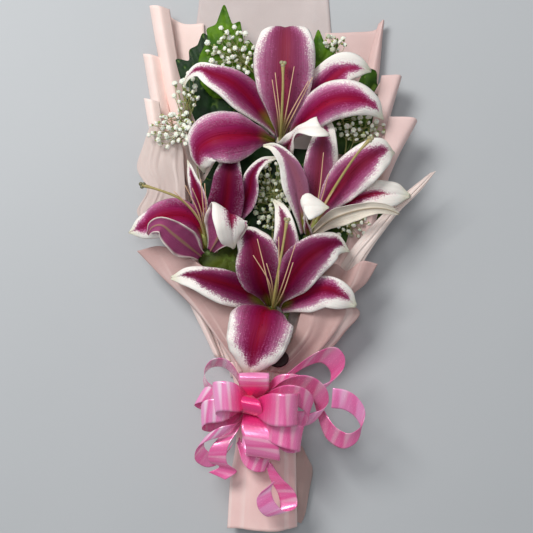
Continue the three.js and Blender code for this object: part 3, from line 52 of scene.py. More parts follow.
FLOWERS = {
  "lily_top": {
    "base": [15, 127, 27],
    "stem": [[15, 122, 24], [10, 60, 16], [-2, -20, 16], [-6, -110, 24], [-8, -190, 24], [-10, -262, 24]],
    "petals": {
      "inner_1": {
        "half": 30, "cup": [-0.1, -0.14, -0.14, 0, 0.1], "roll": [0, 0, 0],
        "spine": [[15, 132, 32], [15.5, 142, 58], [16.5, 163, 80], [17.5, 192, 91], [18.5, 222, 91],
          [18.5, 237, 80], [18.5, 236, 62], [18.5, 228, 47]] },
      "inner_2": {
        "half": 26, "cup": [-0.1, -0.15, -0.15], "roll": [0, 0, 0],
        "spine": [[9, 129, 33], [-6, 131, 61], [-28, 130, 81], [-52, 126, 86], [-66, 118, 79],
          [-68.5, 105, 66], [-63, 94, 54]] },
      "inner_3": {
        "half": 19, "cup": [-0.15, -0.2, -0.2], "roll": [0, 0, 0],
        "spine": [[21, 127, 33], [30, 138, 62], [45, 152, 79], [64, 163, 90], [86, 165, 92],
          [106, 159, 84], [117, 147, 69]] },
      "outer_1": {
        "half": 16.5, "cup": [0.15, 0.15, 0.3], "roll": [0, 0, 0],
        "profile": [0.3, 0.4, 0.7, 0.96, 1, 0.88, 0.6, 0.28, 0.12],
        "spine": [[11.9, 137.8, 30], [-4.6, 154, 50], [-19.6, 169.5, 63], [-36.4, 182.1, 73],
          [-53.3, 189.9, 74], [-67.5, 196.5, 70], [-78.9, 190.6, 63], [-83.4, 182.6, 56]] },
      "outer_2": {
        "half": 16.5, "cup": [0.1, 0.15, 0.1], "roll": [0, 0, 0],
        "profile": [0.28, 0.4, 0.6, 0.86, 1, 1, 0.9, 0.62, 0.1],
        "spine": [[18.1, 138.9, 30], [30, 150.9, 50], [45.8, 169.5, 63], [63.3, 188.9, 74],
          [78.1, 198.4, 77], [93.3, 199, 73], [105.1, 196.6, 63]] },
      "outer_3": {
        "half": 17, "cup": [0.3, 0.3, 0.1, 0.05], "roll": [0, 10, 35, 85, 90],
        "profile": [0.4, 0.5, 0.56, 0.55, 0.45, 0.25, 0.45, 0.92, 0.5],
        "spine": [[18, 132, 31], [19.7, 121, 55], [23.3, 123, 78], [29.9, 134, 96], [40, 136, 105],
          [52, 135.5, 106.5], [54.5, 134.5, 97]] },
    },
    "style": [[14.5, 129, 36], [14.5, 133, 64], [15, 150, 88], [16, 175, 102], [16, 197, 105]],
    "filaments": [
      [[14.5, 129, 36], [11, 150, 86], [5.5, 182, 101]],
      [[14.5, 129, 36], [13, 150, 87], [8.5, 189, 101]],
      [[14.5, 129, 36], [19, 150, 87], [27, 195, 101]],
      [[14.5, 129, 36], [22, 148, 86], [41, 181, 101]],
      [[14.5, 129, 36], [25, 147, 85], [45, 185, 98]]],
  },
  "lily_left": {
    "base": [-60, 14, 33],
    "stem": [[-58, 10, 30], [-46, -30, 22], [-26, -76, 22], [-16, -110, 24], [-20, -190, 22],
      [-24, -262, 22]],
    "petals": {
      "inner_1": {
        "half": 18.5, "cup": [-0.1, -0.1, -0.1], "roll": [0, 0, 0],
        "spine": [[-64, 18, 42], [-67, 36, 58], [-80, 48, 70], [-101, 48, 76], [-119, 40, 71],
          [-139, 34, 58]] },
      "inner_2": {
        "half": 19, "cup": [0.25, 0.2, 0.1], "roll": [0, 0, 0],
        "profile": [0.3, 0.55, 0.95, 1, 0.95, 0.85, 0.7, 0.45, 0.1],
        "spine": [[-56, 20, 40], [-52, 36, 46], [-44, 54, 54], [-40, 72, 62], [-38, 90, 67],
          [-36, 106, 64], [-35, 118, 55]] },
      "inner_3": {
        "half": 22, "cup": [0.1, 0.05, 0.05, -0.1], "roll": [180, 180, 180],
        "profile": [0.2, 0.4, 0.7, 0.9, 1, 1, 0.88, 0.6, 0.08],
        "spine": [[-57, 16, 44], [-48, 30, 64], [-39, 46, 86], [-35, 52, 98], [-34, 45, 102],
          [-33, 31, 98], [-32, 18, 86]] },
      "outer_1": {
        "half": 15, "cup": [-0.15, -0.2, -0.2], "roll": [180, 180, 180],
        "profile": [0.35, 0.5, 0.8, 1, 1, 0.86, 0.55, 0.35, 0.12],
        "spine": [[-67, 10.7, 44], [-80.5, 22, 64], [-93, 32.5, 79], [-104, 41, 87], [-112.5, 39, 84],
          [-118, 32, 77]] },
      "outer_2": {
        "half": 10, "cup": [0.2, 0.2, 0.2], "roll": [40, 40, 40],
        "spine": [[-62, 20, 38], [-63, 48, 46], [-69, 74, 60], [-75, 93, 64], [-80, 108, 57]] },
      "outer_3": {
        "half": 12, "cup": [0.2, 0.2, 0.2], "roll": [0, 0, 0],
        "profile": [0.3, 0.4, 0.6, 0.85, 1, 0.8, 0.55, 0.35, 0.12],
        "spine": [[-54, 15, 36], [-44, 40, 42], [-29, 58, 50], [-18, 76, 58], [-14, 93, 64],
          [-4, 105, 66], [12, 110, 61]] },
    },
    "style": [[-61, 20, 42], [-67, 46, 68], [-84, 66, 84], [-102, 74, 90], [-122, 80, 92]],
    "filaments": [
      [[-61, 20, 42], [-70, 52, 76], [-91, 74, 92]],
      [[-61, 20, 42], [-68, 54, 76], [-80, 80, 88]],
      [[-61, 20, 42], [-66, 58, 74], [-73, 77, 90]],
      [[-61, 20, 42], [-63, 58, 72], [-65, 86, 84]],
      [[-61, 20, 42], [-60, 56, 72], [-61, 82, 86]]],
  },
  "lily_right": {
    "base": [41, 29, 40],
    "stem": [[40, 25, 37], [30, -20, 24], [14, -70, 20], [4, -110, 24], [4, -190, 22], [2, -262, 22]],
    "petals": {
      "inner_1": {
        "half": 16.5, "cup": [0.15, 0.15, 0.15], "roll": [0, 0, 0],
        "spine": [[42, 38, 44], [50, 68, 56], [54, 96, 68], [56, 117, 74], [59, 135, 72],
          [62, 152, 64]] },
      "inner_2": {
        "half": 20, "cup": [0.1, 0.1, 0], "roll": [0, 0, 0],
        "profile": [0.16, 0.25, 0.5, 0.8, 0.95, 1, 0.92, 0.68, 0.06],
        "spine": [[45, 36, 47], [60, 62, 60], [75, 80, 75], [91, 97, 86], [107, 109, 88], [120, 115, 80],
          [128, 114, 68]] },
      "inner_3": {
        "half": 15, "cup": [0.1, 0.1, 0, 0], "roll": [50, 70, 90, 90],
        "profile": [0.35, 0.4, 0.4, 0.36, 0.3, 0.3, 0.9, 0.6, 0.05],
        "spine": [[43.2, 31, 50], [41.5, 38.5, 70], [38.9, 46.7, 90], [36.5, 54, 103], [36.3, 57.7, 108],
          [41.2, 58.6, 109], [50, 58.2, 107], [60.9, 57.5, 101]] },
      "outer_1": {
        "half": 13, "cup": [0.35, 0.35, 0.35], "roll": [0, 0, 0],
        "profile": [0.28, 0.4, 0.62, 0.86, 1, 0.9, 0.66, 0.42, 0.1],
        "spine": [[38, 34, 48], [33, 60, 64], [28, 84, 78], [19, 105, 89], [7, 117, 93], [-3, 119, 89]] },
      "outer_2": {
        "half": 13, "cup": [0.1, 0.1, -0.1], "roll": [0, 0, 0],
        "profile": [0.3, 0.35, 0.45, 0.6, 0.75, 0.95, 1, 0.85, 0.15],
        "spine": [[50.5, 35.2, 44], [67.4, 53.2, 53], [86.1, 65.9, 62], [105.6, 72.6, 69],
          [125.6, 72.6, 69], [144.7, 71.1, 60]] },
      "outer_3": {
        "half": 12.5, "cup": [-0.2, -0.2, -0.1], "roll": [140, 145, 165],
        "profile": [0.4, 0.5, 0.72, 0.9, 0.85, 0.65, 0.5, 0.36, 0.1],
        "spine": [[47.3, 34, 50], [63.6, 46.6, 68], [82.8, 54.1, 80], [102.3, 57.8, 84], [118.4, 57, 81],
          [132.2, 52.4, 73]] },
    },
    "style": [[44, 34, 50], [58, 62, 72], [76, 92, 92], [90, 112, 102], [101, 124, 104]],
    "filaments": [
      [[44, 34, 50], [52, 70, 76], [56, 112, 92]],
      [[44, 34, 50], [55, 68, 78], [61, 91, 94]],
      [[44, 34, 50], [60, 66, 76], [78, 96, 92]],
      [[44, 34, 50], [62, 68, 78], [85, 106, 96]]],
  },
  "lily_bottom": {
    "base": [7, -47, 27],
    "stem": [[6, -52, 24], [-2, -80, 32], [-6, -110, 33], [-8, -190, 33], [-8, -262, 33]],
    "petals": {
      "inner_1": {
        "half": 22, "cup": [-0.05, -0.05, -0.05], "roll": [0, 0, 0],
        "spine": [[3, -41, 34], [0, -30, 58], [-6, -15, 75], [-8, 1, 83], [-11, 19, 81], [-19, 33, 71],
          [-28, 41, 60]] },
      "inner_2": {
        "half": 20.5, "cup": [0.05, 0.05, 0], "roll": [0, 0, 0],
        "spine": [[12, -41, 34], [15, -29, 60], [25, -14, 77], [38, 3, 87], [54, 16, 91], [70, 22, 82],
          [83, 15, 70]] },
      "inner_3": {
        "half": 33, "cup": [-0.1, -0.12, -0.1], "roll": [0, 0, 0],
        "profile": [0.16, 0.3, 0.62, 0.94, 1, 0.93, 0.8, 0.58, 0.16],
        "spine": [[6.7, -43.7, 34], [4.5, -42.9, 58], [-2.5, -45.2, 79], [-5.4, -57.5, 92],
          [-10.3, -75, 94], [-14.3, -92.3, 86], [-17.5, -108.3, 72]] },
      "outer_1": {
        "half": 15.5, "cup": [0.15, 0.15, 0.15], "roll": [0, 0, 0],
        "profile": [0.28, 0.45, 0.7, 0.95, 1, 0.85, 0.65, 0.42, 0.1],
        "spine": [[7, -39, 32], [10, -22, 46], [16, 0, 57], [19.5, 24, 64], [18, 44, 66], [13, 60, 62],
          [7, 67, 56]] },
      "outer_2": {
        "half": 17, "cup": [0.1, 0.1, 0.05], "roll": [0, 0, 0],
        "profile": [0.4, 0.6, 0.85, 1, 1, 0.9, 0.74, 0.5, 0.1],
        "spine": [[1.5, -39.7, 32], [-12.7, -32.1, 47], [-32.7, -23.7, 61], [-54.5, -16.5, 70],
          [-75.6, -10.5, 69], [-96.4, -11.6, 59]] },
      "outer_3": {
        "half": 16.5, "cup": [0.1, 0.1, 0.05], "roll": [0, 0, 0],
        "profile": [0.4, 0.55, 0.75, 0.95, 1, 1, 0.9, 0.64, 0.12],
        "spine": [[14.9, -41.8, 32], [25.9, -36, 51], [41.7, -29.6, 64], [58.3, -25.4, 74],
          [74.3, -30.4, 74], [89.9, -39.7, 64]] },
    },
    "style": [[7, -44, 38], [7, -36, 66], [11, -8, 90], [16, 20, 100], [20, 45, 102]],
    "filaments": [
      [[7, -44, 38], [1, -14, 88], [-9, 27, 98]],
      [[7, -44, 38], [2, -14, 88], [-13, 11, 98]],
      [[7, -44, 38], [5, -14, 88], [0, 3, 97]],
      [[7, -44, 38], [12, -10, 90], [12, 29, 98]],
      [[7, -44, 38], [17, -14, 89], [28, 21, 100]],
      [[7, -44, 38], [17, -24, 86], [26, 4, 99]]],
  },
}

LEAVES = {
  "leaf_top_left": { "at": [-40, 177, 32], "tilt": [6, 3], "outline": [
    [25.1, 2.9], [29.2, 17.3], [25.1, 35.9], [28.1, 48.3], [20.9, 56.5], [16.8, 50.3], [12.7, 75.1],
    [4.4, 70.9], [-3.8, 94.6], [-12.1, 70.9], [-22.4, 66.8], [-20.3, 56.5], [-30.6, 35.9], [-28.6, 11.1],
    [-16.2, -3.3], [4.4, -5.4]] },
  "leaf_upper_left": { "at": [-59, 142, 22], "tilt": [2, -3], "outline": [
    [54.3, -2.3], [39.8, 26.8], [27.3, 39.3], [12.8, 62.2], [4.5, 91.3], [-7, 101.7], [-12.2, 87.1],
    [-21.5, 82.9], [-20.5, 70.5], [-36.1, 74.6], [-29.8, 51.8], [-24.6, 33.1], [-14.3, 8.1], [-3.9, -21],
    [21.1, -31.3], [41.9, -21]] },
  "leaf_top_right": { "at": [49, 171, 36], "tilt": [4, 0], "outline": [
    [-14.6, -12.2], [-10.5, 39.2], [-3.3, 53.5], [3.9, 74.1], [11.1, 55.6], [20.4, 59.7], [24.5, 63.8],
    [24.5, 53.5], [18.3, 43.3], [16.3, 10.4], [1.9, -10.2]] },
  "leaf_right": { "at": [97, 141, 26], "tilt": [-4, 4], "outline": [
    [-35.4, -20.3], [-43.7, 10.7], [-31.2, 27.3], [-8.4, 35.6], [6.1, 66.7], [18.5, 62.5], [17.5, 48],
    [29.9, 39.7], [25.7, 27.3], [26.8, 6.6], [37.1, 6.6], [34, -5.8], [18.5, -12], [6.1, -20.3],
    [-16.7, -26.5]] },
  "leaf_left": { "at": [-46, 9, 34], "tilt": [0, 0], "outline": [
    [-29.7, 3.9], [-19.4, 12.1], [-7, 16.2], [14.6, 18.3], [33.1, 20.3], [37.3, 1.8], [31.1, -18.8],
    [8.4, -25], [-14.2, -16.7]] },
  "leaf_centre": { "at": [14, 69, 17], "tilt": [0, 0], "outline": [
    [-87.5, -37.2], [-95.9, -5.9], [-77.1, 23.3], [-60.4, 52.5], [-29.1, 56.7], [2.2, 54.6], [39.7, 52.5],
    [58.5, 29.6], [50.1, -5.9], [27.2, -45.5], [2.2, -64.3], [-27, -70.6], [-58.3, -64.3]] },
  "leaf_low_right": { "at": [88, 42, 27], "tilt": [0, 0], "outline": [
    [-30.6, -10.4], [-22.3, 12.3], [-1.6, 20.6], [23.3, 20.6], [33.6, 12.3], [21.2, -0.1], [6.7, -12.5],
    [-1.6, -24.9], [-16.1, -20.8]] },
}

SPRAYS = {
  "breath_top_left": {
    "stalks": [
      [[-37, 222, 48], [-16, 202, 40], [2, 178, 28], [4, 150, 10], [-4, 60, 9.5], [-14, -100, 10]]],
    "clouds": [
      [[-36.1, 218, 50], [28, 29, 10]]] },
  "breath_left": {
    "stalks": [
      [[-86, 148, 52], [-74, 120, 46], [-67, 60, 27], [-60, 18, 23], [-45, -14, 19], [-22, -100, 12]]],
    "clouds": [
      [[-81.8, 175.3, 50], [15, 24, 10]],
      [[-97.4, 137.8, 58], [24, 20, 9]],
      [[-79.3, 133.9, 57], [10, 16, 9]]] },
  "breath_centre": {
    "stalks": [
      [[8, 74, 40], [6, 30, 32], [8, 0, 26], [10, -40, 13], [2, -100, 10]]],
    "clouds": [
      [[5.6, 72.2, 40], [26, 38, 9]]] },
  "breath_right": {
    "stalks": [
      [[94, 140, 52], [78, 100, 30], [40, 0, 11], [4, -100, 11]],
      [[70, 228, 48], [72, 180, 38], [82, 130, 34], [78, 100, 30]],
      [[84, 42, 44], [70, 56, 30], [60, 62, 20], [55, 40, 15]]],
    "clouds": [
      [[94.9, 140.5, 52], [28, 15, 9]],
      [[69.7, 227.5, 48], [14, 10, 8]],
      [[87.3, 43.4, 44], [20, 18, 8]]] },
}

SHEETS = {
  "wrap_left_pleat_1": { "control": [
    [[-66, 256, 5], [-88, 256, 4], [-112, 270, 5], [-122, 272, 16], [-112, 270, 27], [-101, 268, 18]],
    [[-62, 190, 5], [-80, 190, 4], [-100, 205, 5], [-110, 206, 15], [-101, 204, 25], [-90, 202, 17]],
    [[-48, 80, 5], [-60, 80, 4], [-76, 88, 5], [-84, 90, 13], [-77, 90, 22], [-68, 90, 15]],
    [[-26, -60, 6], [-34, -60, 5], [-44, -58, 5], [-50, -57, 11], [-45, -57, 18], [-38, -57, 13]],
    [[-18, -100, 7], [-24, -100, 6], [-31, -100, 6], [-36, -100, 11], [-32, -100, 16],
      [-27, -100, 12]]] },
  "wrap_left_pleat_2": { "control": [
    [[-86, 190, 2.6], [-104, 205, 2.4], [-121, 221, 4], [-129, 222, 15], [-121, 220, 25],
      [-110, 218, 17]],
    [[-82, 140, 2.6], [-95, 148, 2.4], [-110, 158, 4], [-118, 159, 14], [-110, 158, 23], [-100, 156, 15]],
    [[-58, 30, 2.8], [-68, 34, 2.6], [-80, 38, 4], [-87, 40, 12], [-81, 40, 20], [-73, 40, 14]],
    [[-36, -70, 4], [-42, -70, 3.6], [-50, -70, 4], [-56, -70, 10], [-51, -70, 16], [-45, -70, 11]],
    [[-26, -102, 6], [-30, -102, 5], [-36, -102, 5], [-41, -102, 10], [-37, -102, 15],
      [-33, -102, 11]]] },
  "wrap_left_pleat_3": { "control": [
    [[-94, 140, 28], [-106, 156, 27], [-119, 172, 27], [-126, 173, 35], [-119, 171, 42], [-110, 169, 37]],
    [[-90, 90, 27], [-100, 104, 26], [-111, 118, 26], [-117, 119, 33], [-111, 118, 40], [-103, 117, 35]],
    [[-78, 0, 24], [-86, 8, 23], [-96, 14, 23], [-101, 15, 28], [-96, 15, 34], [-90, 15, 30]],
    [[-44, -96, 18], [-46, -95, 18], [-50, -94, 18], [-53, -94, 22], [-50, -94, 26], [-47, -94, 23]]] },
  "wrap_left_panel": { "control": [
    [[-88.3, 133.2, 45], [-102.5, 138.1, 46], [-117.8, 146.3, 46]],
    [[-85.2, 118.9, 45], [-105.5, 120.8, 46], [-125.9, 122.9, 46]],
    [[-84.2, 102.6, 44.5], [-107.6, 101.4, 46], [-132.1, 100.5, 45]],
    [[-83.2, 84.2, 44.5], [-102.5, 81.1, 45.5], [-121.8, 78, 46]],
    [[-82.2, 61.8, 44.5], [-106.6, 58.6, 45.5], [-132.1, 55.6, 45]],
    [[-81.1, 39.3, 44.5], [-102.5, 39.3, 45.5], [-122.9, 41.3, 45]]] },
  "wrap_left_flap": { "control": [
    [[-37.2, -13.8, 45], [-61.7, -1.5, 45], [-85.3, 12.8, 44], [-108.8, 20.9, 43], [-132.7, 15.9, 40]],
    [[-27.1, -29.1, 44], [-47.5, -25, 44], [-68, -19.9, 43], [-88.5, -14.8, 42], [-107, -10.8, 40]],
    [[-23, -46.5, 44], [-37.2, -47.4, 45], [-51.6, -47.5, 43], [-66, -44.5, 42], [-79.5, -37.4, 38]],
    [[-16.8, -77, 45], [-26, -78.9, 47], [-35.2, -79.1, 44], [-44.5, -76.2, 42], [-52.9, -69.4, 36]],
    [[-9.7, -106.8, 43], [-13.8, -107.7, 44], [-18.9, -108.9, 42], [-23, -108.1, 40],
      [-27.3, -106.4, 35]]] },
  "wrap_right_pleat_1": { "control": [
    [[62, 246, 3], [92, 247, 3], [114, 249, 4], [123, 256, 9], [122, 258, 15], [117, 254, 11]],
    [[66, 190, 3], [92, 190, 3], [108, 190, 4], [116, 190, 12], [109, 190, 20], [100, 188, 14]],
    [[60, 80, 3], [74, 80, 3], [90, 78, 4], [97, 78, 12], [90, 78, 20], [82, 78, 14]],
    [[34, -50, 4], [42, -50, 4], [50, -50, 5], [56, -50, 12], [50, -50, 18], [43, -50, 13]],
    [[8, -100, 6], [14, -100, 5], [20, -100, 5], [25, -100, 10], [20, -100, 15], [15, -100, 11]]] },
  "wrap_right_pleat_2": { "control": [
    [[98, 160, 24], [110, 178, 24], [123, 196, 25], [138, 194, 33], [136, 196, 42], [118, 196, 38]],
    [[88, 110, 22], [102, 122, 22], [115, 134, 23], [122, 134, 31], [116, 135, 38], [106, 134, 33]],
    [[64, 10, 20], [76, 14, 20], [88, 18, 21], [94, 18, 27], [88, 18, 33], [80, 18, 28]],
    [[26, -94, 16], [30, -93, 16], [34, -92, 16], [38, -92, 20], [35, -92, 25], [31, -92, 21]]] },
  "wrap_right_pleat_3": { "control": [
    [[112, 124, 44], [122, 138, 44], [130, 152, 44], [152, 146, 50], [150, 150, 58], [124, 152, 54]],
    [[102, 80, 38], [112, 88, 38], [120, 94, 38], [126, 94, 44], [121, 96, 50], [112, 94, 46]],
    [[76, 0, 34], [84, 4, 34], [94, 8, 34], [99, 8, 39], [95, 8, 44], [88, 8, 40]],
    [[40, -84, 28], [43, -83, 28], [46, -82, 28], [49, -82, 32], [47, -82, 36], [43, -82, 32]]] },
  "wrap_right_panel": { "control": [
    [[164.6, 94.1, 62], [167.6, 95.1, 62], [170.6, 96.1, 62]],
    [[139.9, 74.2, 58], [147.8, 74.2, 59], [156, 77.2, 58]],
    [[118.9, 54.2, 55], [126.8, 53.1, 57], [134.1, 55.2, 55]],
    [[98.8, 32.9, 53], [108.7, 30.8, 56], [119.1, 36, 53]],
    [[82.8, 12.7, 51], [92.7, 10.6, 54], [103.1, 12.7, 51]],
    [[54.5, -34.1, 47], [65.5, -36.1, 50], [76.9, -34.1, 47]],
    [[17.9, -93.5, 43], [23, -94.4, 45], [28.1, -93.5, 43]]] },
  "wrap_right_flap": { "control": [
    [[54, 0.5, 58], [69.8, 2.5, 64], [81.3, -4.5, 58], [95.8, 5.5, 66], [112.4, 2.5, 60]],
    [[47, -17.7, 56], [61.9, -17.6, 62], [75.2, -18.7, 58], [86.9, -15.6, 64], [101.6, -15.7, 57]],
    [[42, -36, 54], [54.9, -35.8, 60], [67.2, -35.9, 57], [76.1, -34.8, 61], [84.6, -33.9, 54]],
    [[35, -47.2, 52], [50, -48, 57], [64.3, -48.1, 54], [79.3, -43.9, 58], [94.9, -47.2, 51]],
    [[29, -66.6, 50], [43, -68.3, 56], [56.3, -68.4, 53], [68.2, -66.2, 57], [80.8, -65.5, 50]],
    [[17.8, -87.1, 47], [28.9, -88.7, 53], [40.1, -88.9, 50], [51.2, -87.8, 52], [63.7, -86.1, 46]],
    [[0.5, -105.8, 43], [7.6, -107.6, 46], [14.8, -108.7, 45], [20.9, -108.6, 46], [27.2, -108.2, 39]]] },
}

BACK_SHEET = [[-70, 288], [65, 288], [72, 200], [66, 60], [48, -40], [26, -117], [-38, -117], [-62, -30],
  [-78, 80], [-82, 190]]

SLEEVE_FLAP = [[[29.6, -184.1, 24], [36.9, -186.7, 21]], [[30.6, -196.7, 23], [43.3, -199.9, 16]],
  [[30.6, -209.2, 23], [48.2, -212, 12]], [[31.7, -232.2, 22], [44.6, -236.5, 10]],
  [[31.7, -255.1, 22], [40.3, -259.4, 11]], [[31.7, -265.5, 22], [36, -267.8, 16]]]

BOW_LOOPS = [
  # knot over the middle
  { "from": [1, -0.25, 0.1], "to": [1, -0.25, 0.1], "width": 22, "path": [
    [-19.4, -126.9, 76], [-17.2, -129.6, 88], [-15.2, -136.1, 91], [-14.3, -143.5, 87],
    [-14.4, -147.8, 76], [-16.5, -139.5, 70]] },
  # straight up, over the edge of the lowest petal
  { "from": [1, 0, 0], "to": [1, 0, 0], "path": [
    [-13.5, -133.3, 72], [-12.3, -119.9, 86], [-12.3, -108.5, 92], [-12.3, -105, 87], [-12.4, -110.8, 78],
    [-13.5, -127.5, 70]] },
  # broad loop to the left
  { "from": [-0.1, 1, 0.1], "to": [-0.1, 1, 0.1], "path": [
    [-16.4, -135.1, 74], [-28, -129.1, 92], [-40.6, -126.7, 97], [-50.6, -128.3, 91], [-50.1, -133.5, 79],
    [-34.5, -137.4, 71], [-18.5, -136.7, 68]] },
  # open cone to the right
  { "from": [0.05, 1, 0], "to": [0.05, 1, 0], "width": 32, "path": [
    [-14.5, -138, 74], [-2.5, -139, 92], [13.1, -139.7, 103], [25.9, -140, 100], [31, -140.3, 89],
    [17.4, -139.6, 78], [-10.5, -137.7, 68]] },
  # flat loop down and to the right
  { "from": [0.15, 1, 0], "to": [0.15, 1, 0], "width": 25, "path": [
    [-12.5, -143.5, 70], [-0.5, -157.7, 84], [15.2, -164.5, 92], [30, -168.9, 89], [35.2, -171.1, 80],
    [21.5, -173.5, 70], [-8.5, -150.2, 64]] },
  # loop straight down
  { "from": [1, -0.15, 0.1], "to": [1, -0.15, 0.1], "width": 34, "path": [
    [-16.5, -143.5, 70], [-10.4, -159.7, 84], [-4.4, -177.2, 86], [-3.5, -190.3, 78], [-6.5, -186.1, 66],
    [-14.6, -152.5, 62]] },
  # long loop up and to the right
  { "from": [0.5, 0.72, 0.25], "to": [0.55, 0.5, 0.65], "width": 24, "path": [
    [-4.5, -131.7, 68], [13.4, -114.9, 76], [31.2, -100.5, 82], [46, -91.4, 84], [60.9, -87.6, 82],
    [70, -95.9, 78], [70.3, -107.2, 74], [61.5, -118.5, 70], [41.6, -127.9, 66], [-0.5, -138.4, 62]] },
  # thin loop up and to the left, standing on its edge
  { "from": [0.1, 0.42, 0.9], "to": [0.1, 0.42, 0.9], "width": 24, "path": [
    [-20.6, -129.9, 66], [-30.5, -107.5, 70], [-42.4, -96.2, 74], [-55.3, -97.2, 74], [-62.4, -107.3, 72],
    [-59.5, -119.6, 69], [-42.6, -127.9, 66], [-20.6, -136.2, 64]] },
  # low loop to the left
  { "from": [0.2, 1, 0.3], "to": [-0.2, 1, 0.3], "width": 26, "path": [
    [-18.5, -137.5, 70], [-40.2, -142.3, 80], [-60.1, -144.6, 78], [-64.6, -151.7, 68],
    [-52.9, -154.7, 60], [-20.6, -144.4, 62]] },
  # pointed loop to the left
  { "from": [0.5, 0.86, 0.2], "to": [0.5, 0.86, 0.2], "width": 20, "path": [
    [-18.6, -133.9, 66], [-40.6, -129.7, 68], [-59.5, -127.5, 70], [-67.8, -131.1, 64],
    [-59.1, -136.9, 57], [-22.7, -138.6, 60]] },
  # curled tail down and to the left
  { "from": [0.7, 0.7, 0.2], "to": [0.45, 0.8, 0.6], "width": 19, "tail": 1, "path": [
    [-20.6, -144, 66], [-34.4, -161, 74], [-52.2, -166.5, 77], [-64.5, -175.5, 70], [-66.9, -188.7, 62],
    [-56, -196.4, 58], [-42.8, -191.7, 62], [-36.6, -181.8, 68]] },
  # short tail crossing the curl
  { "from": [0.8, 0.5, 0.2], "to": [0.75, -0.3, 0.2], "width": 19, "tail": 1, "path": [
    [-22.6, -146.4, 62], [-36.6, -165.9, 67], [-47.5, -181.5, 70], [-48.7, -196.1, 66],
    [-38.8, -204.3, 59], [-50.1, -211.9, 56]] },
  # falling loop to the right
  { "from": [0.35, 0.6, 0.7], "to": [0.35, 0.6, 0.7], "width": 27, "path": [
    [-4.5, -131.3, 72], [17.3, -116.2, 84], [39, -116, 86], [54.1, -128.4, 80], [55.5, -145.5, 70],
    [37.8, -154.7, 60], [1.5, -144.7, 60]] },
  # inner loop to the right
  { "from": [0.2, 0.8, 0.5], "to": [0.2, 0.8, 0.5], "width": 24, "path": [
    [-6.5, -131.5, 70], [15.3, -125.6, 88], [35, -129.6, 88], [44.2, -141.6, 78], [35.6, -154, 66],
    [-2.5, -146.4, 62]] },
  # hot pink fold above the cone
  { "from": [0.3, 0.95, 0.1], "to": [0.3, 0.95, 0.1], "width": 26, "path": [
    [-8.5, -133.9, 66], [5.5, -120.7, 78], [21.3, -118.3, 82], [29.4, -120.9, 76], [17.5, -125.7, 68],
    [-8.6, -136.4, 62]] },
  # diagonal tail under the bow
  { "from": [0.35, 1, 0.1], "to": [0.5, 0.9, 0.1], "width": 15, "path": [
    [-28.8, -175.5, 56], [-20.6, -192.7, 62], [-8.5, -199.1, 66], [1.5, -198.8, 62], [-0.5, -187.9, 54],
    [-12.6, -155.2, 56]] },
]

RIBBON_TAILS = {
  "ribbon_tail_right": { "from": [0.35, 0.6, 0.7], "to": [0.05, 0.92, 0.35], "width": 22, "path": [
    [50.1, -133, 56], [56, -151, 58], [64.8, -167.3, 64], [79.5, -174.5, 70], [92, -166.7, 76],
    [95.6, -152, 82], [88.2, -138.4, 88], [77.2, -131.2, 91], [64.3, -129.1, 92]] },
  "ribbon_tail_bottom": { "from": [1, -0.3, 0.2], "to": [0.75, 0.65, 0.1], "width": 18, "path": [
    [1.5, -197.1, 60], [9.6, -213.2, 60], [20.7, -230.1, 56], [21.7, -243.9, 58], [10.6, -248.7, 64],
    [0.5, -239.5, 70], [-2.5, -226.8, 74], [1.5, -218.1, 78]] },
}

# ---------------------------------------------------------------- sizes, in millimetres

PETAL_ROWS, PETAL_COLUMNS = 46, 22
PETAL_THICK, PETAL_EDGE = 0.9, 0.35
PAPER_THICK = 0.45
RIBBON_THICK = 0.35
RIBBON_WIDTH = 30
GATHER_WIDTH, GATHER_LENGTH = 0.4, 0.3
LEAF_THICK = 0.5
BACK_Z = 0.6

INNER_PROFILE = [0.16, 0.25, 0.52, 0.86, 1, 0.97, 0.82, 0.56, 0.04]
OUTER_PROFILE = [0.28, 0.4, 0.6, 0.84, 1, 0.94, 0.74, 0.44, 0.04]

MM = 0.001
low = np.array(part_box("wrap_back_sheet")[0])
table_low = np.array([min(x for x, y in BACK_SHEET), min(y for x, y in BACK_SHEET), 0]) * MM
SHIFT = low - table_low
random = np.random.default_rng(7)

# ---------------------------------------------------------------- camera, light, floor

CAMERA_HEIGHT = 1.30
LENS = 83.1


def add_camera():
    camera = bpy.data.objects.new("camera", bpy.data.cameras.new("camera"))
    camera.data.lens = LENS
    camera.data.sensor_width = 36
    camera.location = (SHIFT[0], SHIFT[1], CAMERA_HEIGHT)
    bpy.context.scene.collection.objects.link(camera)
    bpy.context.scene.camera = camera


def add_area_light(name, place, target, size, watts, colour):
    light = bpy.data.lights.new(name, "AREA")
    light.energy = watts
    light.size = size
    light.color = colour
    lamp = bpy.data.objects.new(name, light)
    lamp.location = place
    lamp.rotation_euler = (Vector(target) - Vector(place)).to_track_quat("-Z", "Y").to_euler()
    bpy.context.scene.collection.objects.link(lamp)


def add_world(colour, strength):
    world = bpy.data.worlds.new("studio")
    bpy.context.scene.world = world
    world.use_nodes = True
    background = world.node_tree.nodes["Background"]
    background.inputs["Color"].default_value = (*colour, 1)
    background.inputs["Strength"].default_value = strength


# ---------------------------------------------------------------- curves and grids

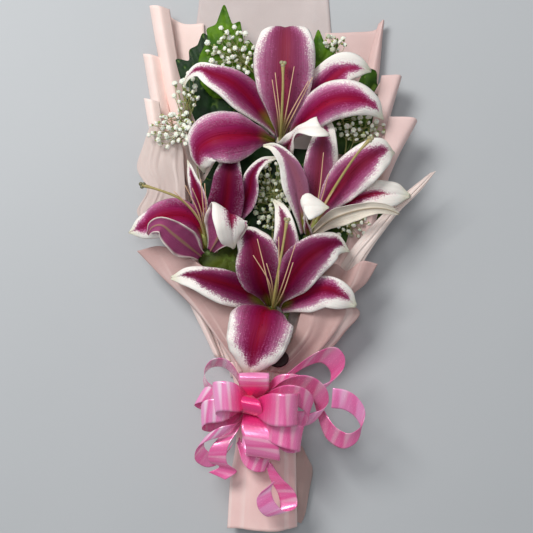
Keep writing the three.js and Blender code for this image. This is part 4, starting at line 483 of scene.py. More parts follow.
def curve_at(points, places):
    """Points of a centripetal Catmull-Rom curve at places from 0 to 1."""
    p = np.array(points, float)
    p = np.vstack([2 * p[0] - p[1], p, 2 * p[-1] - p[-2]])
    steps = np.maximum(np.sum(np.diff(p, axis=0) ** 2, axis=1) ** 0.25, 1e-4)
    spot = np.clip(places, 0, 1) * (len(points) - 1)
    k = np.minimum(spot.astype(int), len(points) - 2)
    w = (spot - k)[:, None]
    a, b, c, d = p[k], p[k + 1], p[k + 2], p[k + 3]
    d0, d1, d2 = steps[k][:, None], steps[k + 1][:, None], steps[k + 2][:, None]
    t1 = ((b - a) / d0 - (c - a) / (d0 + d1) + (c - b) / d1) * d1
    t2 = ((c - b) / d1 - (d - b) / (d1 + d2) + (d - c) / d2) * d1
    return b + t1 * w + (3 * (c - b) - 2 * t1 - t2) * w**2 + (2 * (b - c) + t1 + t2) * w**3


def even_curve(points, count):
    """count + 1 points spaced evenly along the curve."""
    dense = curve_at(points, np.linspace(0, 1, 400))
    length = np.concatenate([[0], np.cumsum(np.linalg.norm(np.diff(dense, axis=0), axis=1))])
    wanted = np.linspace(0, length[-1], count + 1)
    return np.stack([np.interp(wanted, length, dense[:, k]) for k in range(3)], axis=1)


def read_list(values, places):
    """Value at places from 0 to 1 of a list of evenly spaced numbers, smooth when it has four or more."""
    values = np.array(values, float)
    last = len(values) - 1
    if last < 3:
        return np.interp(places, np.linspace(0, 1, last + 1), values)
    spot = np.asarray(places, float) * last
    low = np.floor(spot).astype(int)
    t = spot - low
    a, b, c, d = (values[np.clip(low + k, 0, last)] for k in (-1, 0, 1, 2))
    start, end = (c - a) / 2, (d - b) / 2
    return (2 * b - 2 * c + start + end) * t**3 + (3 * c - 3 * b - 2 * start - end) * t**2 + start * t + b


def unit(vectors):
    return vectors / np.maximum(np.linalg.norm(vectors, axis=-1, keepdims=True), 1e-9)


def carried_sides(tangents, middle, first):
    """Side vectors that turn as little as possible along a curve, set at its middle."""
    sides = np.zeros_like(tangents)
    sides[middle] = first
    order = [(k - 1, k) for k in range(middle + 1, len(tangents))]
    order += [(k + 1, k) for k in range(middle - 1, -1, -1)]
    for known, k in order:
        sides[k] = unit(sides[known] - tangents[k] * np.dot(sides[known], tangents[k]))
    return sides


def grid_normals(grid):
    along = np.gradient(grid, axis=0)
    across = np.gradient(grid, axis=1)
    return unit(np.cross(across, along))


# ---------------------------------------------------------------- meshes

def mesh_object(name, verts, faces, uvs=None, values=None, smooth=True):
    """Object from vertices in table millimetres. uvs and values hold one entry for each vertex."""
    mesh = bpy.data.meshes.new(name)
    mesh.from_pydata((np.asarray(verts) * MM + SHIFT).tolist(), [], faces)
    corner = np.empty(len(mesh.loops), int)
    mesh.loops.foreach_get("vertex_index", corner)
    if uvs is not None:
        layer = mesh.uv_layers.new(name="along")
        layer.data.foreach_set("uv", np.asarray(uvs, np.float32)[corner].ravel())
    for key, column in (values or {}).items():
        attribute = mesh.attributes.new(key, "FLOAT", "POINT")
        attribute.data.foreach_set("value", np.asarray(column, np.float32))
    if smooth:
        mesh.polygons.foreach_set("use_smooth", [True] * len(mesh.polygons))
    mesh.update()
    piece = bpy.data.objects.new(name, mesh)
    bpy.context.scene.collection.objects.link(piece)
    return piece


def slab_mesh(grid, thickness):
    """Vertices, faces, (u, v) and side (1 on the back) of a closed sheet round a grid of points."""
    rows, columns = grid.shape[:2]
    half = np.broadcast_to(np.asarray(thickness) / 2, (rows, columns))[..., None]
    normal = grid_normals(grid)
    verts = np.concatenate([(grid + normal * half).reshape(-1, 3), (grid - normal * half).reshape(-1, 3)])
    u, v = np.meshgrid(np.linspace(0, 1, rows), np.linspace(0, 1, columns), indexing="ij")
    uv = np.stack([u.ravel(), v.ravel()], axis=1)
    count = rows * columns
    i, j = np.meshgrid(np.arange(rows - 1), np.arange(columns - 1), indexing="ij")
    a = (i * columns + j).ravel()
    top = np.stack([a, a + 1, a + columns + 1, a + columns], axis=1)
    bottom = top[:, ::-1] + count
    edge = np.arange(rows - 1) * columns
    left = np.stack([edge, edge + columns, edge + columns + count, edge + count], axis=1)
    edge = edge + columns - 1
    right = np.stack([edge + columns, edge, edge + count, edge + columns + count], axis=1)
    edge = np.arange(columns - 1)
    near = np.stack([edge + 1, edge, edge + count, edge + 1 + count], axis=1)
    edge = edge + (rows - 1) * columns
    far = np.stack([edge, edge + 1, edge + 1 + count, edge + count], axis=1)
    faces = np.concatenate([top, bottom, left, right, near, far]).tolist()
    side = np.concatenate([np.zeros(count), np.ones(count)])
    return verts, faces, np.concatenate([uv, uv]), side


def slab_object(name, grid, thickness, values=None):
    verts, faces, uv, side = slab_mesh(grid, thickness)
    doubled = {key: np.tile(np.ravel(column), 2) for key, column in (values or {}).items()}
    return mesh_object(name, verts, faces, uv, {"back": side, **doubled})


def tube_mesh(points, radii, sides, start=0):
    """Closed tube through points, with a rounded taper given by radii."""
    points = np.asarray(points, float)
    radii = np.broadcast_to(radii, len(points))
    tangents = unit(np.gradient(points, axis=0))
    first = unit(np.cross(tangents[0], [0.31, 0.17, 0.93]))
    side = carried_sides(tangents, 0, first)
    other = np.cross(tangents, side)
    angles = np.arange(sides) * 2 * math.pi / sides
    ring = side[:, None] * np.cos(angles)[None, :, None] + other[:, None] * np.sin(angles)[None, :, None]
    verts = (points[:, None] + ring * radii[:, None, None]).reshape(-1, 3)
    faces = []
    for k in range(len(points) - 1):
        for s in range(sides):
            a, b = k * sides + s, k * sides + (s + 1) % sides
            faces.append([start + a, start + b, start + b + sides, start + a + sides])
    faces.append([start + s for s in range(sides - 1, -1, -1)])
    last = (len(points) - 1) * sides
    faces.append([start + last + s for s in range(sides)])
    u = np.repeat(np.linspace(0, 1, len(points)), sides)
    v = np.tile(np.arange(sides) / sides, len(points))
    return verts, faces, np.stack([u, v], axis=1)


class Gathered:
    """Collects closed shapes into one mesh, each with a number that says what it is."""

    def __init__(self):
        self.verts, self.faces, self.uvs, self.kinds, self.count = [], [], [], [], 0

    def add(self, verts, faces, uv, kind):
        self.verts.append(np.asarray(verts, float))
        self.faces += [[k + self.count for k in face] for face in faces]
        self.uvs.append(uv)
        self.kinds.append(np.full(len(verts), float(kind)))
        self.count += len(verts)

    def add_tube(self, points, radii, sides, kind):
        self.add(*tube_mesh(points, radii, sides), kind)

    def object(self, name):
        return mesh_object(name, np.concatenate(self.verts), self.faces, np.concatenate(self.uvs),
                           {"kind": np.concatenate(self.kinds)})


def ball_mesh(rings, sides):
    """Unit ball with poles on Z."""
    verts, faces = [[0, 0, -1]], []
    for r in range(1, rings):
        lift = -math.cos(math.pi * r / rings)
        wide = math.sin(math.pi * r / rings)
        for s in range(sides):
            turn = 2 * math.pi * s / sides
            verts.append([wide * math.cos(turn), wide * math.sin(turn), lift])
    verts.append([0, 0, 1])
    top = len(verts) - 1
    for s in range(sides):
        t = (s + 1) % sides
        faces.append([0, 1 + t, 1 + s])
        for r in range(rings - 2):
            a = 1 + r * sides
            faces.append([a + s, a + t, a + sides + t, a + sides + s])
        a = 1 + (rings - 2) * sides
        faces.append([a + s, a + t, top])
    verts = np.array(verts, float)
    return verts, faces, np.stack([verts[:, 2] * 0.5 + 0.5, verts[:, 0] * 0.5 + 0.5], axis=1)


# ---------------------------------------------------------------- materials

def colour(red, green, blue):
    """Linear colour of display values from 0 to 255."""
    display = np.array([red, green, blue]) / 255
    linear = np.where(display <= 0.04045, display / 12.92, ((display + 0.055) / 1.055) ** 2.4)
    return (*linear.tolist(), 1.0)


class Paint:
    """A material's node graph, built by short calls."""

    def __init__(self, name, roughness, specular=0.5):
        self.material = bpy.data.materials.new(name)
        self.material.use_nodes = True
        self.tree = self.material.node_tree
        self.shader = self.tree.nodes["Principled BSDF"]
        self.shader.inputs["Roughness"].default_value = roughness
        self.shader.inputs["Specular IOR Level"].default_value = specular

    def put(self, socket, value):
        if isinstance(value, bpy.types.NodeSocket):
            self.tree.links.new(value, socket)
        elif value is not None:
            socket.default_value = value

    def node(self, kind, inputs=(), **settings):
        made = self.tree.nodes.new(kind)
        for key, value in settings.items():
            setattr(made, key, value)
        for key, value in dict(inputs).items():
            self.put(made.inputs[key], value)
        return made

    def math(self, operation, one, two=None, three=None):
        given = {k: v for k, v in enumerate((one, two, three)) if v is not None}
        return self.node("ShaderNodeMath", given, operation=operation).outputs[0]

    def smooth(self, value, low, high):
        """0 below low, 1 above high, smooth between."""
        made = self.node("ShaderNodeMapRange", {"Value": value, "From Min": low, "From Max": high},
                         interpolation_type="SMOOTHSTEP")
        return made.outputs["Result"]

    def mix(self, factor, one, two, blend="MIX"):
        made = self.node("ShaderNodeMix", {0: factor}, data_type="RGBA", blend_type=blend)
        self.put(made.inputs[6], one)
        self.put(made.inputs[7], two)
        return made.outputs[2]

    def curve(self, value, stops):
        """Grey ramp through (place, level) stops."""
        made = self.node("ShaderNodeValToRGB", {"Fac": value})
        ramp = made.color_ramp
        ramp.interpolation = "EASE"
        while len(ramp.elements) < len(stops):
            ramp.elements.new(0.5)
        for element, (place, level) in zip(ramp.elements, stops):
            element.position = place
            element.color = (level, level, level, 1)
        return made.outputs["Color"]

    def noise(self, vector, scale, detail=2, roughness=0.5):
        made = self.node("ShaderNodeTexNoise", {"Vector": vector, "Scale": scale, "Detail": detail,
                                                "Roughness": roughness})
        return made.outputs["Fac"]

    def attribute(self, name):
        return self.node("ShaderNodeAttribute", attribute_name=name).outputs["Fac"]

    def along(self):
        """(u, v) of the piece, as two sockets."""
        place = self.node("ShaderNodeUVMap", uv_map="along").outputs["UV"]
        parts = self.node("ShaderNodeSeparateXYZ", {0: place})
        return parts.outputs[0], parts.outputs[1]

    def vector(self, x, y, z):
        return self.node("ShaderNodeCombineXYZ", {0: x, 1: y, 2: z}).outputs[0]

    def stretched(self, lengthwise, crosswise, offset, detail):
        """Noise in the piece's own (u, v), with its own scale each way."""
        u, v = self.along()
        long_way, cross_way = self.math("MULTIPLY", u, lengthwise), self.math("MULTIPLY", v, crosswise)
        return self.noise(self.vector(long_way, cross_way, offset), 1, detail)

    def place(self):
        return self.node("ShaderNodeTexCoord").outputs["Object"]

    def colour(self, value):
        self.put(self.shader.inputs["Base Color"], value)

    def rough(self, value):
        self.put(self.shader.inputs["Roughness"], value)

    def bump(self, height, strength, distance):
        made = self.node("ShaderNodeBump", {"Height": height, "Strength": strength, "Distance": distance})
        self.put(self.shader.inputs["Normal"], made.outputs["Normal"])


def petal_material(name, bumps, reach_stops):
    """Crimson core, purple field, a speckled rim that turns white; the back is paler, with a midrib."""
    paint = Paint(name, 0.5, 0.1)
    u, v = paint.along()
    face_shade, margin = paint.attribute("face_shade"), paint.attribute("margin")
    centred = paint.math("SUBTRACT", paint.math("MULTIPLY_ADD", v, 2, -1), paint.attribute("lean"))
    across = paint.math("ABSOLUTE", centred)
    greying, seed, pale = paint.attribute("greying"), paint.attribute("seed"), paint.attribute("pale")
    long_way = paint.math("MULTIPLY", u, 5)
    streaks = paint.noise(paint.vector(long_way, paint.math("MULTIPLY", v, 70), seed), 1, 3, 0.6)
    patches = paint.noise(paint.vector(long_way, paint.math("MULTIPLY", v, 4), seed), 1, 2)
    specks = paint.noise(paint.place(), 720, 2, 0.7)
    uneven = paint.math("MULTIPLY_ADD", streaks, 0.5, -0.25)
    uneven = paint.math("ADD", uneven, paint.math("MULTIPLY_ADD", patches, 0.3, -0.15))
    uneven = paint.math("ADD", uneven, paint.math("MULTIPLY_ADD", specks, 1.3, -0.65))
    reach = paint.curve(u, reach_stops)
    rim = paint.math("MULTIPLY_ADD", margin, 0.3, 0.0)
    rim = paint.math("MULTIPLY", rim, paint.math("MULTIPLY_ADD", paint.smooth(u, 0.1, 0.7), 0.75, 0.25))
    inside = paint.math("SUBTRACT", paint.math("SUBTRACT", reach, rim), across)
    field = paint.smooth(paint.math("ADD", inside, paint.math("MULTIPLY", uneven, 0.55)), -0.1, 0.2)
    deep = paint.smooth(paint.math("ADD", inside, paint.math("MULTIPLY", uneven, 0.9)), 0.05, 0.5)
    core = paint.math("MULTIPLY", paint.smooth(across, 0.42, 0.0), paint.smooth(u, 1.0, 0.6))
    core = paint.math("MULTIPLY", core, paint.math("MULTIPLY_ADD", streaks, 1.6, 0.0))
    white = paint.mix(patches, colour(252, 249, 244), colour(238, 230, 222))
    white = paint.mix(paint.math("MULTIPLY", paint.smooth(u, 0.86, 1.0), 0.6), white, colour(232, 232, 196))
    blush = paint.math("MULTIPLY", paint.smooth(inside, -0.4, 0.0), paint.smooth(uneven, 0.0, 0.3))
    white = paint.mix(paint.math("MULTIPLY", blush, 0.6), white, colour(204, 120, 168))
    # Painted shade: the per-petal shade value mixes the light, purple and crimson face colours toward shaded
    # copies.
    light = paint.mix(streaks, colour(214, 128, 174), colour(158, 54, 112))
    light = paint.mix(face_shade, light, colour(118, 34, 82))
    purple = paint.mix(streaks, colour(158, 36, 98), colour(112, 10, 58))
    purple = paint.mix(face_shade, purple, colour(84, 2, 44))
    crimson = paint.mix(face_shade, colour(148, 4, 40), colour(96, 0, 18))
    face = paint.mix(deep, light, purple)
    face = paint.mix(core, face, crimson)
    # Greys the face toward mauve by the per-petal greying value.
    face = paint.mix(paint.math("MULTIPLY", greying, 0.7), face, colour(190, 146, 170))
    veil = paint.math("MULTIPLY", paint.smooth(specks, 0.44, 0.64), paint.smooth(across, 0.3, 1.0))
    # Less of the lavender haze where more shade is painted.
    veil = paint.math("MULTIPLY", veil, paint.math("MULTIPLY_ADD", face_shade, -0.7, 1.0))
    face = paint.mix(paint.math("MULTIPLY", veil, 0.75), face, colour(216, 176, 208))
    face = paint.mix(field, white, face)
    throat = paint.math("MULTIPLY", paint.smooth(u, 0.28, 0.1), paint.smooth(across, 0.9, 0.1))
    face = paint.mix(throat, face, colour(140, 140, 52))
    spots = paint.node("ShaderNodeTexVoronoi", {"Vector": paint.place(), "Scale": 300.0}).outputs["Distance"]
    dots = paint.math("MULTIPLY", paint.smooth(spots, 0.22, 0.1), paint.smooth(u, 0.7, 0.4))
    dots = paint.math("MULTIPLY", dots, paint.smooth(across, 0.8, 0.45))
    face = paint.mix(paint.math("MULTIPLY", dots, 0.6), face, colour(70, 0, 22))
    rib = paint.smooth(paint.math("ABSOLUTE", paint.math("MULTIPLY_ADD", v, 2, -1)), 0.14, 0.03)
    pale = paint.smooth(paint.math("ADD", pale, paint.math("MULTIPLY", uneven, 0.6)), 0.1, 0.9)
    edge = paint.smooth(across, 1.0, 0.8)
    outside = paint.mix(streaks, colour(168, 84, 128), colour(138, 56, 98))
    back = paint.mix(edge, colour(234, 222, 214), outside)
    back = paint.mix(pale, back, colour(236, 226, 210))
    back = paint.mix(paint.math("MULTIPLY", rib, 0.7), back, colour(160, 134, 98))
    paint.colour(paint.mix(paint.attribute("back"), face, back))
    paint.rough(paint.math("MULTIPLY_ADD", patches, 0.25, 0.45))
    veins = paint.stretched(3, 40, seed, 2)
    paint.bump(paint.math("ADD", veins, paint.math("MULTIPLY", dots, bumps)), 0.6, 0.0011)
    paint.shader.inputs["Subsurface Weight"].default_value = 0.05
    paint.shader.inputs["Subsurface Radius"].default_value = (1.0, 0.4, 0.4)
    paint.shader.inputs["Subsurface Scale"].default_value = 0.0012
    return paint.material


def pistil_material():
    """kind 0 filament, 1 style, 2 stigma, 3 ovary."""
    paint = Paint("pistil", 0.4)
    u = paint.along()[0]
    kind = paint.attribute("kind")
    grain = paint.noise(paint.place(), 400, 3)
    filament = paint.mix(paint.smooth(u, 0.1, 0.7), colour(150, 148, 80), colour(206, 158, 132))
    style = paint.mix(paint.smooth(u, 0.1, 0.9), colour(158, 150, 74), colour(150, 132, 74))
    stigma = paint.mix(grain, colour(150, 148, 116), colour(112, 104, 84))
    body = paint.mix(paint.smooth(kind, 0.4, 0.6), filament, style)
    body = paint.mix(paint.smooth(kind, 1.4, 1.6), body, stigma)
    body = paint.mix(paint.smooth(kind, 2.4, 2.6), body, colour(128, 140, 62))
    body = paint.mix(paint.smooth(kind, 3.4, 3.6), body, colour(52, 58, 34))
    body = paint.mix(paint.math("MULTIPLY", grain, 0.3), body, colour(230, 220, 160))
    paint.colour(body)
    paint.bump(grain, 0.4, 0.0004)
    return paint.material


def stem_material():
    paint = Paint("stem", 0.5)
    u, v = paint.along()
    fibres = paint.noise(paint.vector(paint.math("MULTIPLY", u, 8), paint.math("MULTIPLY", v, 30), 0), 1, 3)
    body = paint.mix(fibres, colour(88, 116, 56), colour(128, 148, 84))
    body = paint.mix(paint.smooth(u, 0.05, 0.0), body, colour(150, 140, 92))
    paint.colour(body)
    paint.bump(fibres, 0.4, 0.0006)
    return paint.material


def leaf_material(name, dark, light, gloss):
    paint = Paint(name, gloss, 0.16)
    vein = paint.attribute("vein")
    patches = paint.noise(paint.place(), 60, 3)
    grain = paint.noise(paint.place(), 900, 2)
    body = paint.mix(paint.smooth(patches, 0.3, 0.7), dark, light)
    body = paint.mix(paint.math("MULTIPLY", paint.smooth(vein, 0.55, 1.0), 0.4), body, colour(124, 156, 62))
    body = paint.mix(paint.attribute("back"), body, paint.mix(0.4, light, colour(130, 150, 90)))
    paint.colour(body)
    paint.rough(paint.math("MULTIPLY_ADD", patches, 0.2, gloss - 0.1))
    paint.bump(paint.math("MULTIPLY_ADD", vein, -1.5, grain), 0.5, 0.0006)
    return paint.material


def breath_material():
    """kind 0 stalk, 1 floret petal, 2 green cup, 3 shaded floret."""
    paint = Paint("breath", 0.75, 0.15)
    kind = paint.attribute("kind")
    grain = paint.noise(paint.place(), 300, 2)
    stalk = paint.mix(grain, colour(120, 132, 76), colour(160, 158, 104))
    white = paint.mix(grain, colour(248, 247, 240), colour(226, 226, 206))
    body = paint.mix(paint.smooth(kind, 0.4, 0.6), stalk, white)
    body = paint.mix(paint.smooth(kind, 1.4, 1.6), body, colour(150, 160, 96))
    body = paint.mix(paint.smooth(kind, 2.4, 2.6), body, colour(196, 200, 178))
    paint.colour(body)
    paint.bump(grain, 0.3, 0.0003)
    paint.shader.inputs["Subsurface Weight"].default_value = 0.15
    paint.shader.inputs["Subsurface Scale"].default_value = 0.001
    return paint.material


def paper_material(name, light, shade):
    """Matt wrapping paper: soft fibres, faint clouding, creases a touch paler, and painted shade on the
    sleeve's loose flap.
    """
    paint = Paint(name, 0.62, 0.3)
    cloud = paint.noise(paint.place(), 14, 3)
    fibre = paint.noise(paint.place(), 700, 3, 0.7)
    fold = paint.attribute("fold")
    body = paint.mix(paint.smooth(cloud, 0.3, 0.7), light, shade)
    body = paint.mix(paint.math("MULTIPLY", fibre, 0.12), body, colour(255, 246, 240))
    body = paint.mix(paint.math("MULTIPLY", paint.smooth(fold, 0.5, 1.0), 0.35), body, colour(252, 232, 226))
    # Painted shade: the sleeve's loose flap is darkened as if it lay in shadow.
    body = paint.mix(paint.math("MULTIPLY", paint.attribute("loose"), 0.85), body, colour(166, 140, 134))
    paint.colour(body)
    paint.rough(paint.math("MULTIPLY_ADD", fibre, 0.2, 0.5))
    paint.bump(fibre, 0.25, 0.0003)
    paint.shader.inputs["Subsurface Weight"].default_value = 0.2
    paint.shader.inputs["Subsurface Radius"].default_value = (1.0, 0.7, 0.65)
    paint.shader.inputs["Subsurface Scale"].default_value = 0.004
    return paint.material


def ribbon_material():
    """Satin ribbon: fine threads across, pale pink with painted highlight stripes, painted shade on the back
    faces and a painted hot pink glow of bounced light near the knot.
    """
    paint = Paint("ribbon", 0.25, 0.6)
    knot_glow = paint.attribute("knot_glow")
    threads = paint.stretched(240, 5, 0, 2)
    broad = paint.stretched(14, 0.4, knot_glow, 1)
    # Painted highlight: pale stripes across the satin stand in for the glints of the lamps.
    painted_highlight = paint.stretched(11, 0.25, 3, 1)
    body = paint.mix(paint.smooth(broad, 0.35, 0.65), colour(252, 158, 212), colour(244, 114, 180))
    body = paint.mix(paint.math("MULTIPLY", paint.smooth(painted_highlight, 0.5, 0.7), 0.9), body, colour(255, 226, 244))
    # Painted bounced light: hot pink glow deep in the folds, strongest at the knot.
    body = paint.mix(paint.smooth(knot_glow, 0.25, 0.85), body, colour(244, 0, 118))
    # Painted shade: the back faces, mostly the insides of the loops, are mixed toward deep pink.
    body = paint.mix(paint.math("MULTIPLY", paint.attribute("back"), 0.5), body, colour(214, 50, 124))
    paint.colour(body)
    paint.rough(paint.math("MULTIPLY_ADD", threads, 0.12, 0.2))
    paint.shader.inputs["Metallic"].default_value = 0.2
    paint.bump(threads, 0.2, 0.0003)
    paint.shader.inputs["Coat Weight"].default_value = 0.5
    paint.shader.inputs["Coat Roughness"].default_value = 0.1
    paint.shader.inputs["Sheen Weight"].default_value = 0.2
    return paint.material


def seal_material():
    paint = Paint("seal", 0.45, 0.2)
    grain = paint.noise(paint.place(), 500, 2)
    paint.colour(paint.mix(grain, colour(34, 8, 12), colour(52, 20, 22)))
    paint.rough(paint.math("MULTIPLY_ADD", grain, 0.2, 0.4))
    paint.bump(grain, 0.2, 0.0003)
    return paint.material


def floor_material():
    paint = Paint("floor", 0.7, 0.2)
    clouds = paint.noise(paint.place(), 3, 4)
    paint.colour(paint.mix(clouds, colour(180, 183, 186), colour(188, 191, 194)))
    paint.bump(paint.noise(paint.place(), 500, 2), 0.05, 0.0005)
    return paint.material


# ---------------------------------------------------------------- petals

def blade_grid(spine, half, profile, roll, rows, columns):
    """Grid of points across a blade, with its side and upward vectors and half widths."""
    places = np.linspace(0, 1, rows + 1)
    points = even_curve(spine, rows)
    tangents = unit(np.gradient(points, axis=0))
    middle = rows // 2
    first = unit(np.cross(tangents[middle], [0, 0, 1]))
    sides = carried_sides(tangents, middle, first)
    turn = np.radians(read_list(roll, places))[:, None]
    ups = np.cross(sides, tangents)
    sides = sides * np.cos(turn) + ups * np.sin(turn)
    ups = np.cross(sides, tangents)
    width = half * read_list(profile, places)
    across = np.linspace(-1, 1, columns + 1)
    return points, sides, ups, width, across, places


LOOK_KEYS = ("face_shade", "margin", "greying", "pale", "lean", "seed")


def petal(name, shape, inner, look):
    """Petal with a channel, ribs and a ruffled edge; look holds the first five of LOOK_KEYS."""
    profile = shape.get("profile", INNER_PROFILE if inner else OUTER_PROFILE)
    points, sides, ups, width, v, u = blade_grid(
        shape["spine"], shape["half"], profile, shape["roll"], PETAL_ROWS, PETAL_COLUMNS)
    seed = random.uniform(0, 50)
    phase = random.uniform(0, 2 * math.pi, 2)
    waves = 3.4 if inner else 2.6
    envelope = np.clip(np.sin(np.pi * np.clip((u - 0.15) / 0.85, 0, 1)), 0, 1)
    ruffle_height = (0.085 if inner else 0.06) * shape["half"] * envelope
    v_grid, u_grid = np.meshgrid(v, u)
    side_phase = np.where(v_grid < 0, phase[0], phase[1])
    ruffle = ruffle_height[:, None] * np.abs(v_grid) ** 3 * np.sin(2 * math.pi * waves * u_grid + side_phase)
    ripple = np.sin(5 * math.pi * waves * u_grid + 2 * side_phase)
    ruffle += 0.35 * ruffle_height[:, None] * v_grid**2 * ripple
    cup = (read_list(shape["cup"], u) * width)[:, None] * v_grid**2
    channel = -1.5 * np.exp(-((v_grid / 0.13) ** 2)) * np.clip(1.15 - u_grid, 0, 1)
    pillow = 0.045 * width[:, None] * np.sin(np.pi * np.clip(np.abs(v_grid) * 1.1, 0, 1))
    curl = -0.10 * width[:, None] * np.clip((np.abs(v_grid) - 0.8) / 0.2, 0, 1) ** 2
    ribs = 0.12 * np.cos(v_grid * 34) * np.clip(1 - np.abs(v_grid), 0, 1)
    lift = cup + ruffle + channel + pillow + curl + ribs
    uneven = 1 + 0.035 * np.sin(2 * math.pi * 2.2 * u_grid + side_phase) * np.abs(v_grid)
    wide = width[:, None] * v_grid * uneven
    grid = points[:, None] + sides[:, None] * wide[..., None] + ups[:, None] * lift[..., None]
    thick = PETAL_EDGE + (PETAL_THICK - PETAL_EDGE) * (1 - v_grid**2)
    count = grid.shape[0] * grid.shape[1]
    values = {key: np.full(count, level) for key, level in zip(LOOK_KEYS, (*look, seed))}
    return slab_object(name, grid, thick, values)


# ---------------------------------------------------------------- pistils, stems

def pistil(name, shape, stigma_kind):
    made = Gathered()
    style = even_curve(shape["style"], 26)
    taper = np.linspace(1.5, 1.15, len(style))
    taper[-3:] = [1.4, 1.8, 2.2]
    made.add_tube(style, taper, 10, 1)
    ovary = even_curve(shape["style"][:2], 8)
    made.add_tube(ovary[:5], [1.6, 2.4, 2.6, 2.3, 1.7], 10, 3)
    tip = style[-1]
    ball = ball_mesh(6, 10)
    for k in range(3):
        turn = 2 * math.pi * k / 3 + 0.4
        lobe = ball[0] * [2.1, 2.1, 1.7] + tip + [1.7 * math.cos(turn), 1.7 * math.sin(turn), 0.4]
        made.add(lobe, ball[1], ball[2], stigma_kind)
    for path in shape["filaments"]:
        points = even_curve(path, 18)
        made.add_tube(points, np.linspace(0.95, 0.42, len(points)), 7, 0)
    return made.object(name)


def stem(name, shape):
    made = Gathered()
    points = even_curve(shape["stem"], 60)
    wobble = 3.1 + 0.15 * np.sin(np.arange(len(points)) * 0.9)
    made.add_tube(points[::-1], wobble, 12, 0)
    ball = ball_mesh(8, 12)
    made.add(ball[0] * [4.2, 4.2, 4.2] + shape["base"], ball[1], ball[2], 1)
    return made.object(name)


# ---------------------------------------------------------------- leaves

def rounded(outline, step):
    """Outline with its corners softened and its edges split to about step."""
    corners = np.array(outline, float)
    points = []
    for k, corner in enumerate(corners):
        back = corners[k - 1] - corner
        ahead = corners[(k + 1) % len(corners)] - corner
        cut = min(0.28 * np.linalg.norm(back), 0.28 * np.linalg.norm(ahead), 7)
        start, end = corner + unit(back) * cut, corner + unit(ahead) * cut
        for w in (0, 0.25, 0.5, 0.75, 1):
            points.append((1 - w) ** 2 * start + 2 * w * (1 - w) * corner + w**2 * end)
        following = corners[(k + 1) % len(corners)]
        gap = np.linalg.norm(following - end)
        for w in np.arange(1, int(gap / step)) / max(int(gap / step), 1):
            points.append(end + (following - end) * w * 0.72)
    return np.array(points)


def leaf_surface(outline, lift, step=3.2):
    """Leaf blade: triangles inside the outline, folded along veins, with vein strength."""
    edge = rounded(outline, step)
    centre = edge.mean(axis=0)
    low_corner, high_corner = edge.min(axis=0), edge.max(axis=0)
    xs = np.arange(low_corner[0] + step / 2, high_corner[0], step)
    ys = np.arange(low_corner[1] + step / 2, high_corner[1], step)
    inner = [(x + (row % 2) * step / 2, y) for row, y in enumerate(ys) for x in xs]
    spots = [Vector(p) for p in edge.tolist()] + [Vector(p) for p in inner]
    borders = [(k, (k + 1) % len(edge)) for k in range(len(edge))]
    made = geometry.delaunay_2d_cdt(spots, borders, [list(range(len(edge)))], 1, 1e-4)
    flat = np.array([list(p) for p in made[0]])
    faces = [list(face) for face in made[2]]
    tips = [corner for corner in np.array(outline, float)
            if np.linalg.norm(corner - centre) > 0.55 * np.linalg.norm(edge - centre, axis=1).max()]
    root = np.array(outline[0], float)
    vein = np.zeros(len(flat))
    for tip in tips:
        span = tip - centre
        along = np.clip(((flat - centre) @ span) / (span @ span), 0, 1)
        away = np.linalg.norm(flat - centre - along[:, None] * span, axis=1)
        vein = np.maximum(vein, np.exp(-((away / 1.3) ** 2)))
    reach = np.linalg.norm(flat - centre, axis=1) / np.linalg.norm(edge - centre, axis=1).max()
    height = lift * (1 - reach**2) - 1.2 * vein
    height += np.array([1.6 * noise.noise(Vector((x * 0.05, y * 0.05, root[0]))) for x, y in flat])
    return flat, faces, height, vein


def leaf(name, shape, lift):
    flat, faces, height, vein = leaf_surface(shape["outline"], lift)
    pitch, bank = np.radians(shape["tilt"])
    verts = np.column_stack([flat, height])
    turn_x = np.array([[1, 0, 0], [0, math.cos(pitch), -math.sin(pitch)],
                       [0, math.sin(pitch), math.cos(pitch)]])
    turn_y = np.array([[math.cos(bank), 0, math.sin(bank)], [0, 1, 0], [-math.sin(bank), 0, math.cos(bank)]])
    verts = verts @ turn_x.T @ turn_y.T + shape["at"]
    return two_sided(name, verts, faces, LEAF_THICK, {"vein": vein})


def two_sided(name, verts, faces, thickness, values):
    """Closes a triangulated sheet with a copy of itself below and a strip round its edge."""
    count = len(verts)
    drop = np.array([0, 0, thickness])
    both = np.concatenate([verts + drop / 2, verts - drop / 2])
    seen = {}
    for face in faces:
        for k, a in enumerate(face):
            seen[(a, face[(k + 1) % len(face)])] = True
    rim = [[b, a, a + count, b + count] for a, b in seen if (b, a) not in seen]
    below = [[k + count for k in reversed(face)] for face in faces]
    side = np.concatenate([np.zeros(count), np.ones(count)])
    doubled = {key: np.tile(column, 2) for key, column in values.items()}
    used = both[:, :2] * 0.01
    return mesh_object(name, both, faces + below + rim, used, {"back": side, **doubled})


# ---------------------------------------------------------------- baby's breath

def random_turn():
    axis = unit(random.normal(size=3))
    angle = random.uniform(0, 2 * math.pi)
    cross = np.array([[0, -axis[2], axis[1]], [axis[2], 0, -axis[0]], [-axis[1], axis[0], 0]])
    return np.eye(3) + math.sin(angle) * cross + (1 - math.cos(angle)) * cross @ cross


def floret_shape():
    """Small double flower, facing +Z: a round tuft of short petals over a green cup."""
    ball = ball_mesh(5, 7)
    parts = [(ball[0] * [0.62, 0.62, 0.6], ball[1], ball[2], 1)]
    for count, lean, size in ((6, 1.25, 0.5), (5, 0.65, 0.46)):
        for k in range(count):
            turn = 2 * math.pi * (k + random.uniform(-0.2, 0.2)) / count
            tilt = lean + random.uniform(-0.15, 0.15)
            spot = [0.62 * math.sin(tilt) * math.cos(turn), 0.62 * math.sin(tilt) * math.sin(turn),
                    0.5 * math.cos(tilt)]
            parts.append((ball[0] * [size, size, 0.36] + spot, ball[1], ball[2], 1))
    parts.append((ball[0] * [0.5, 0.5, 0.7] + [0, 0, -0.7], ball[1], ball[2], 2))
    return parts


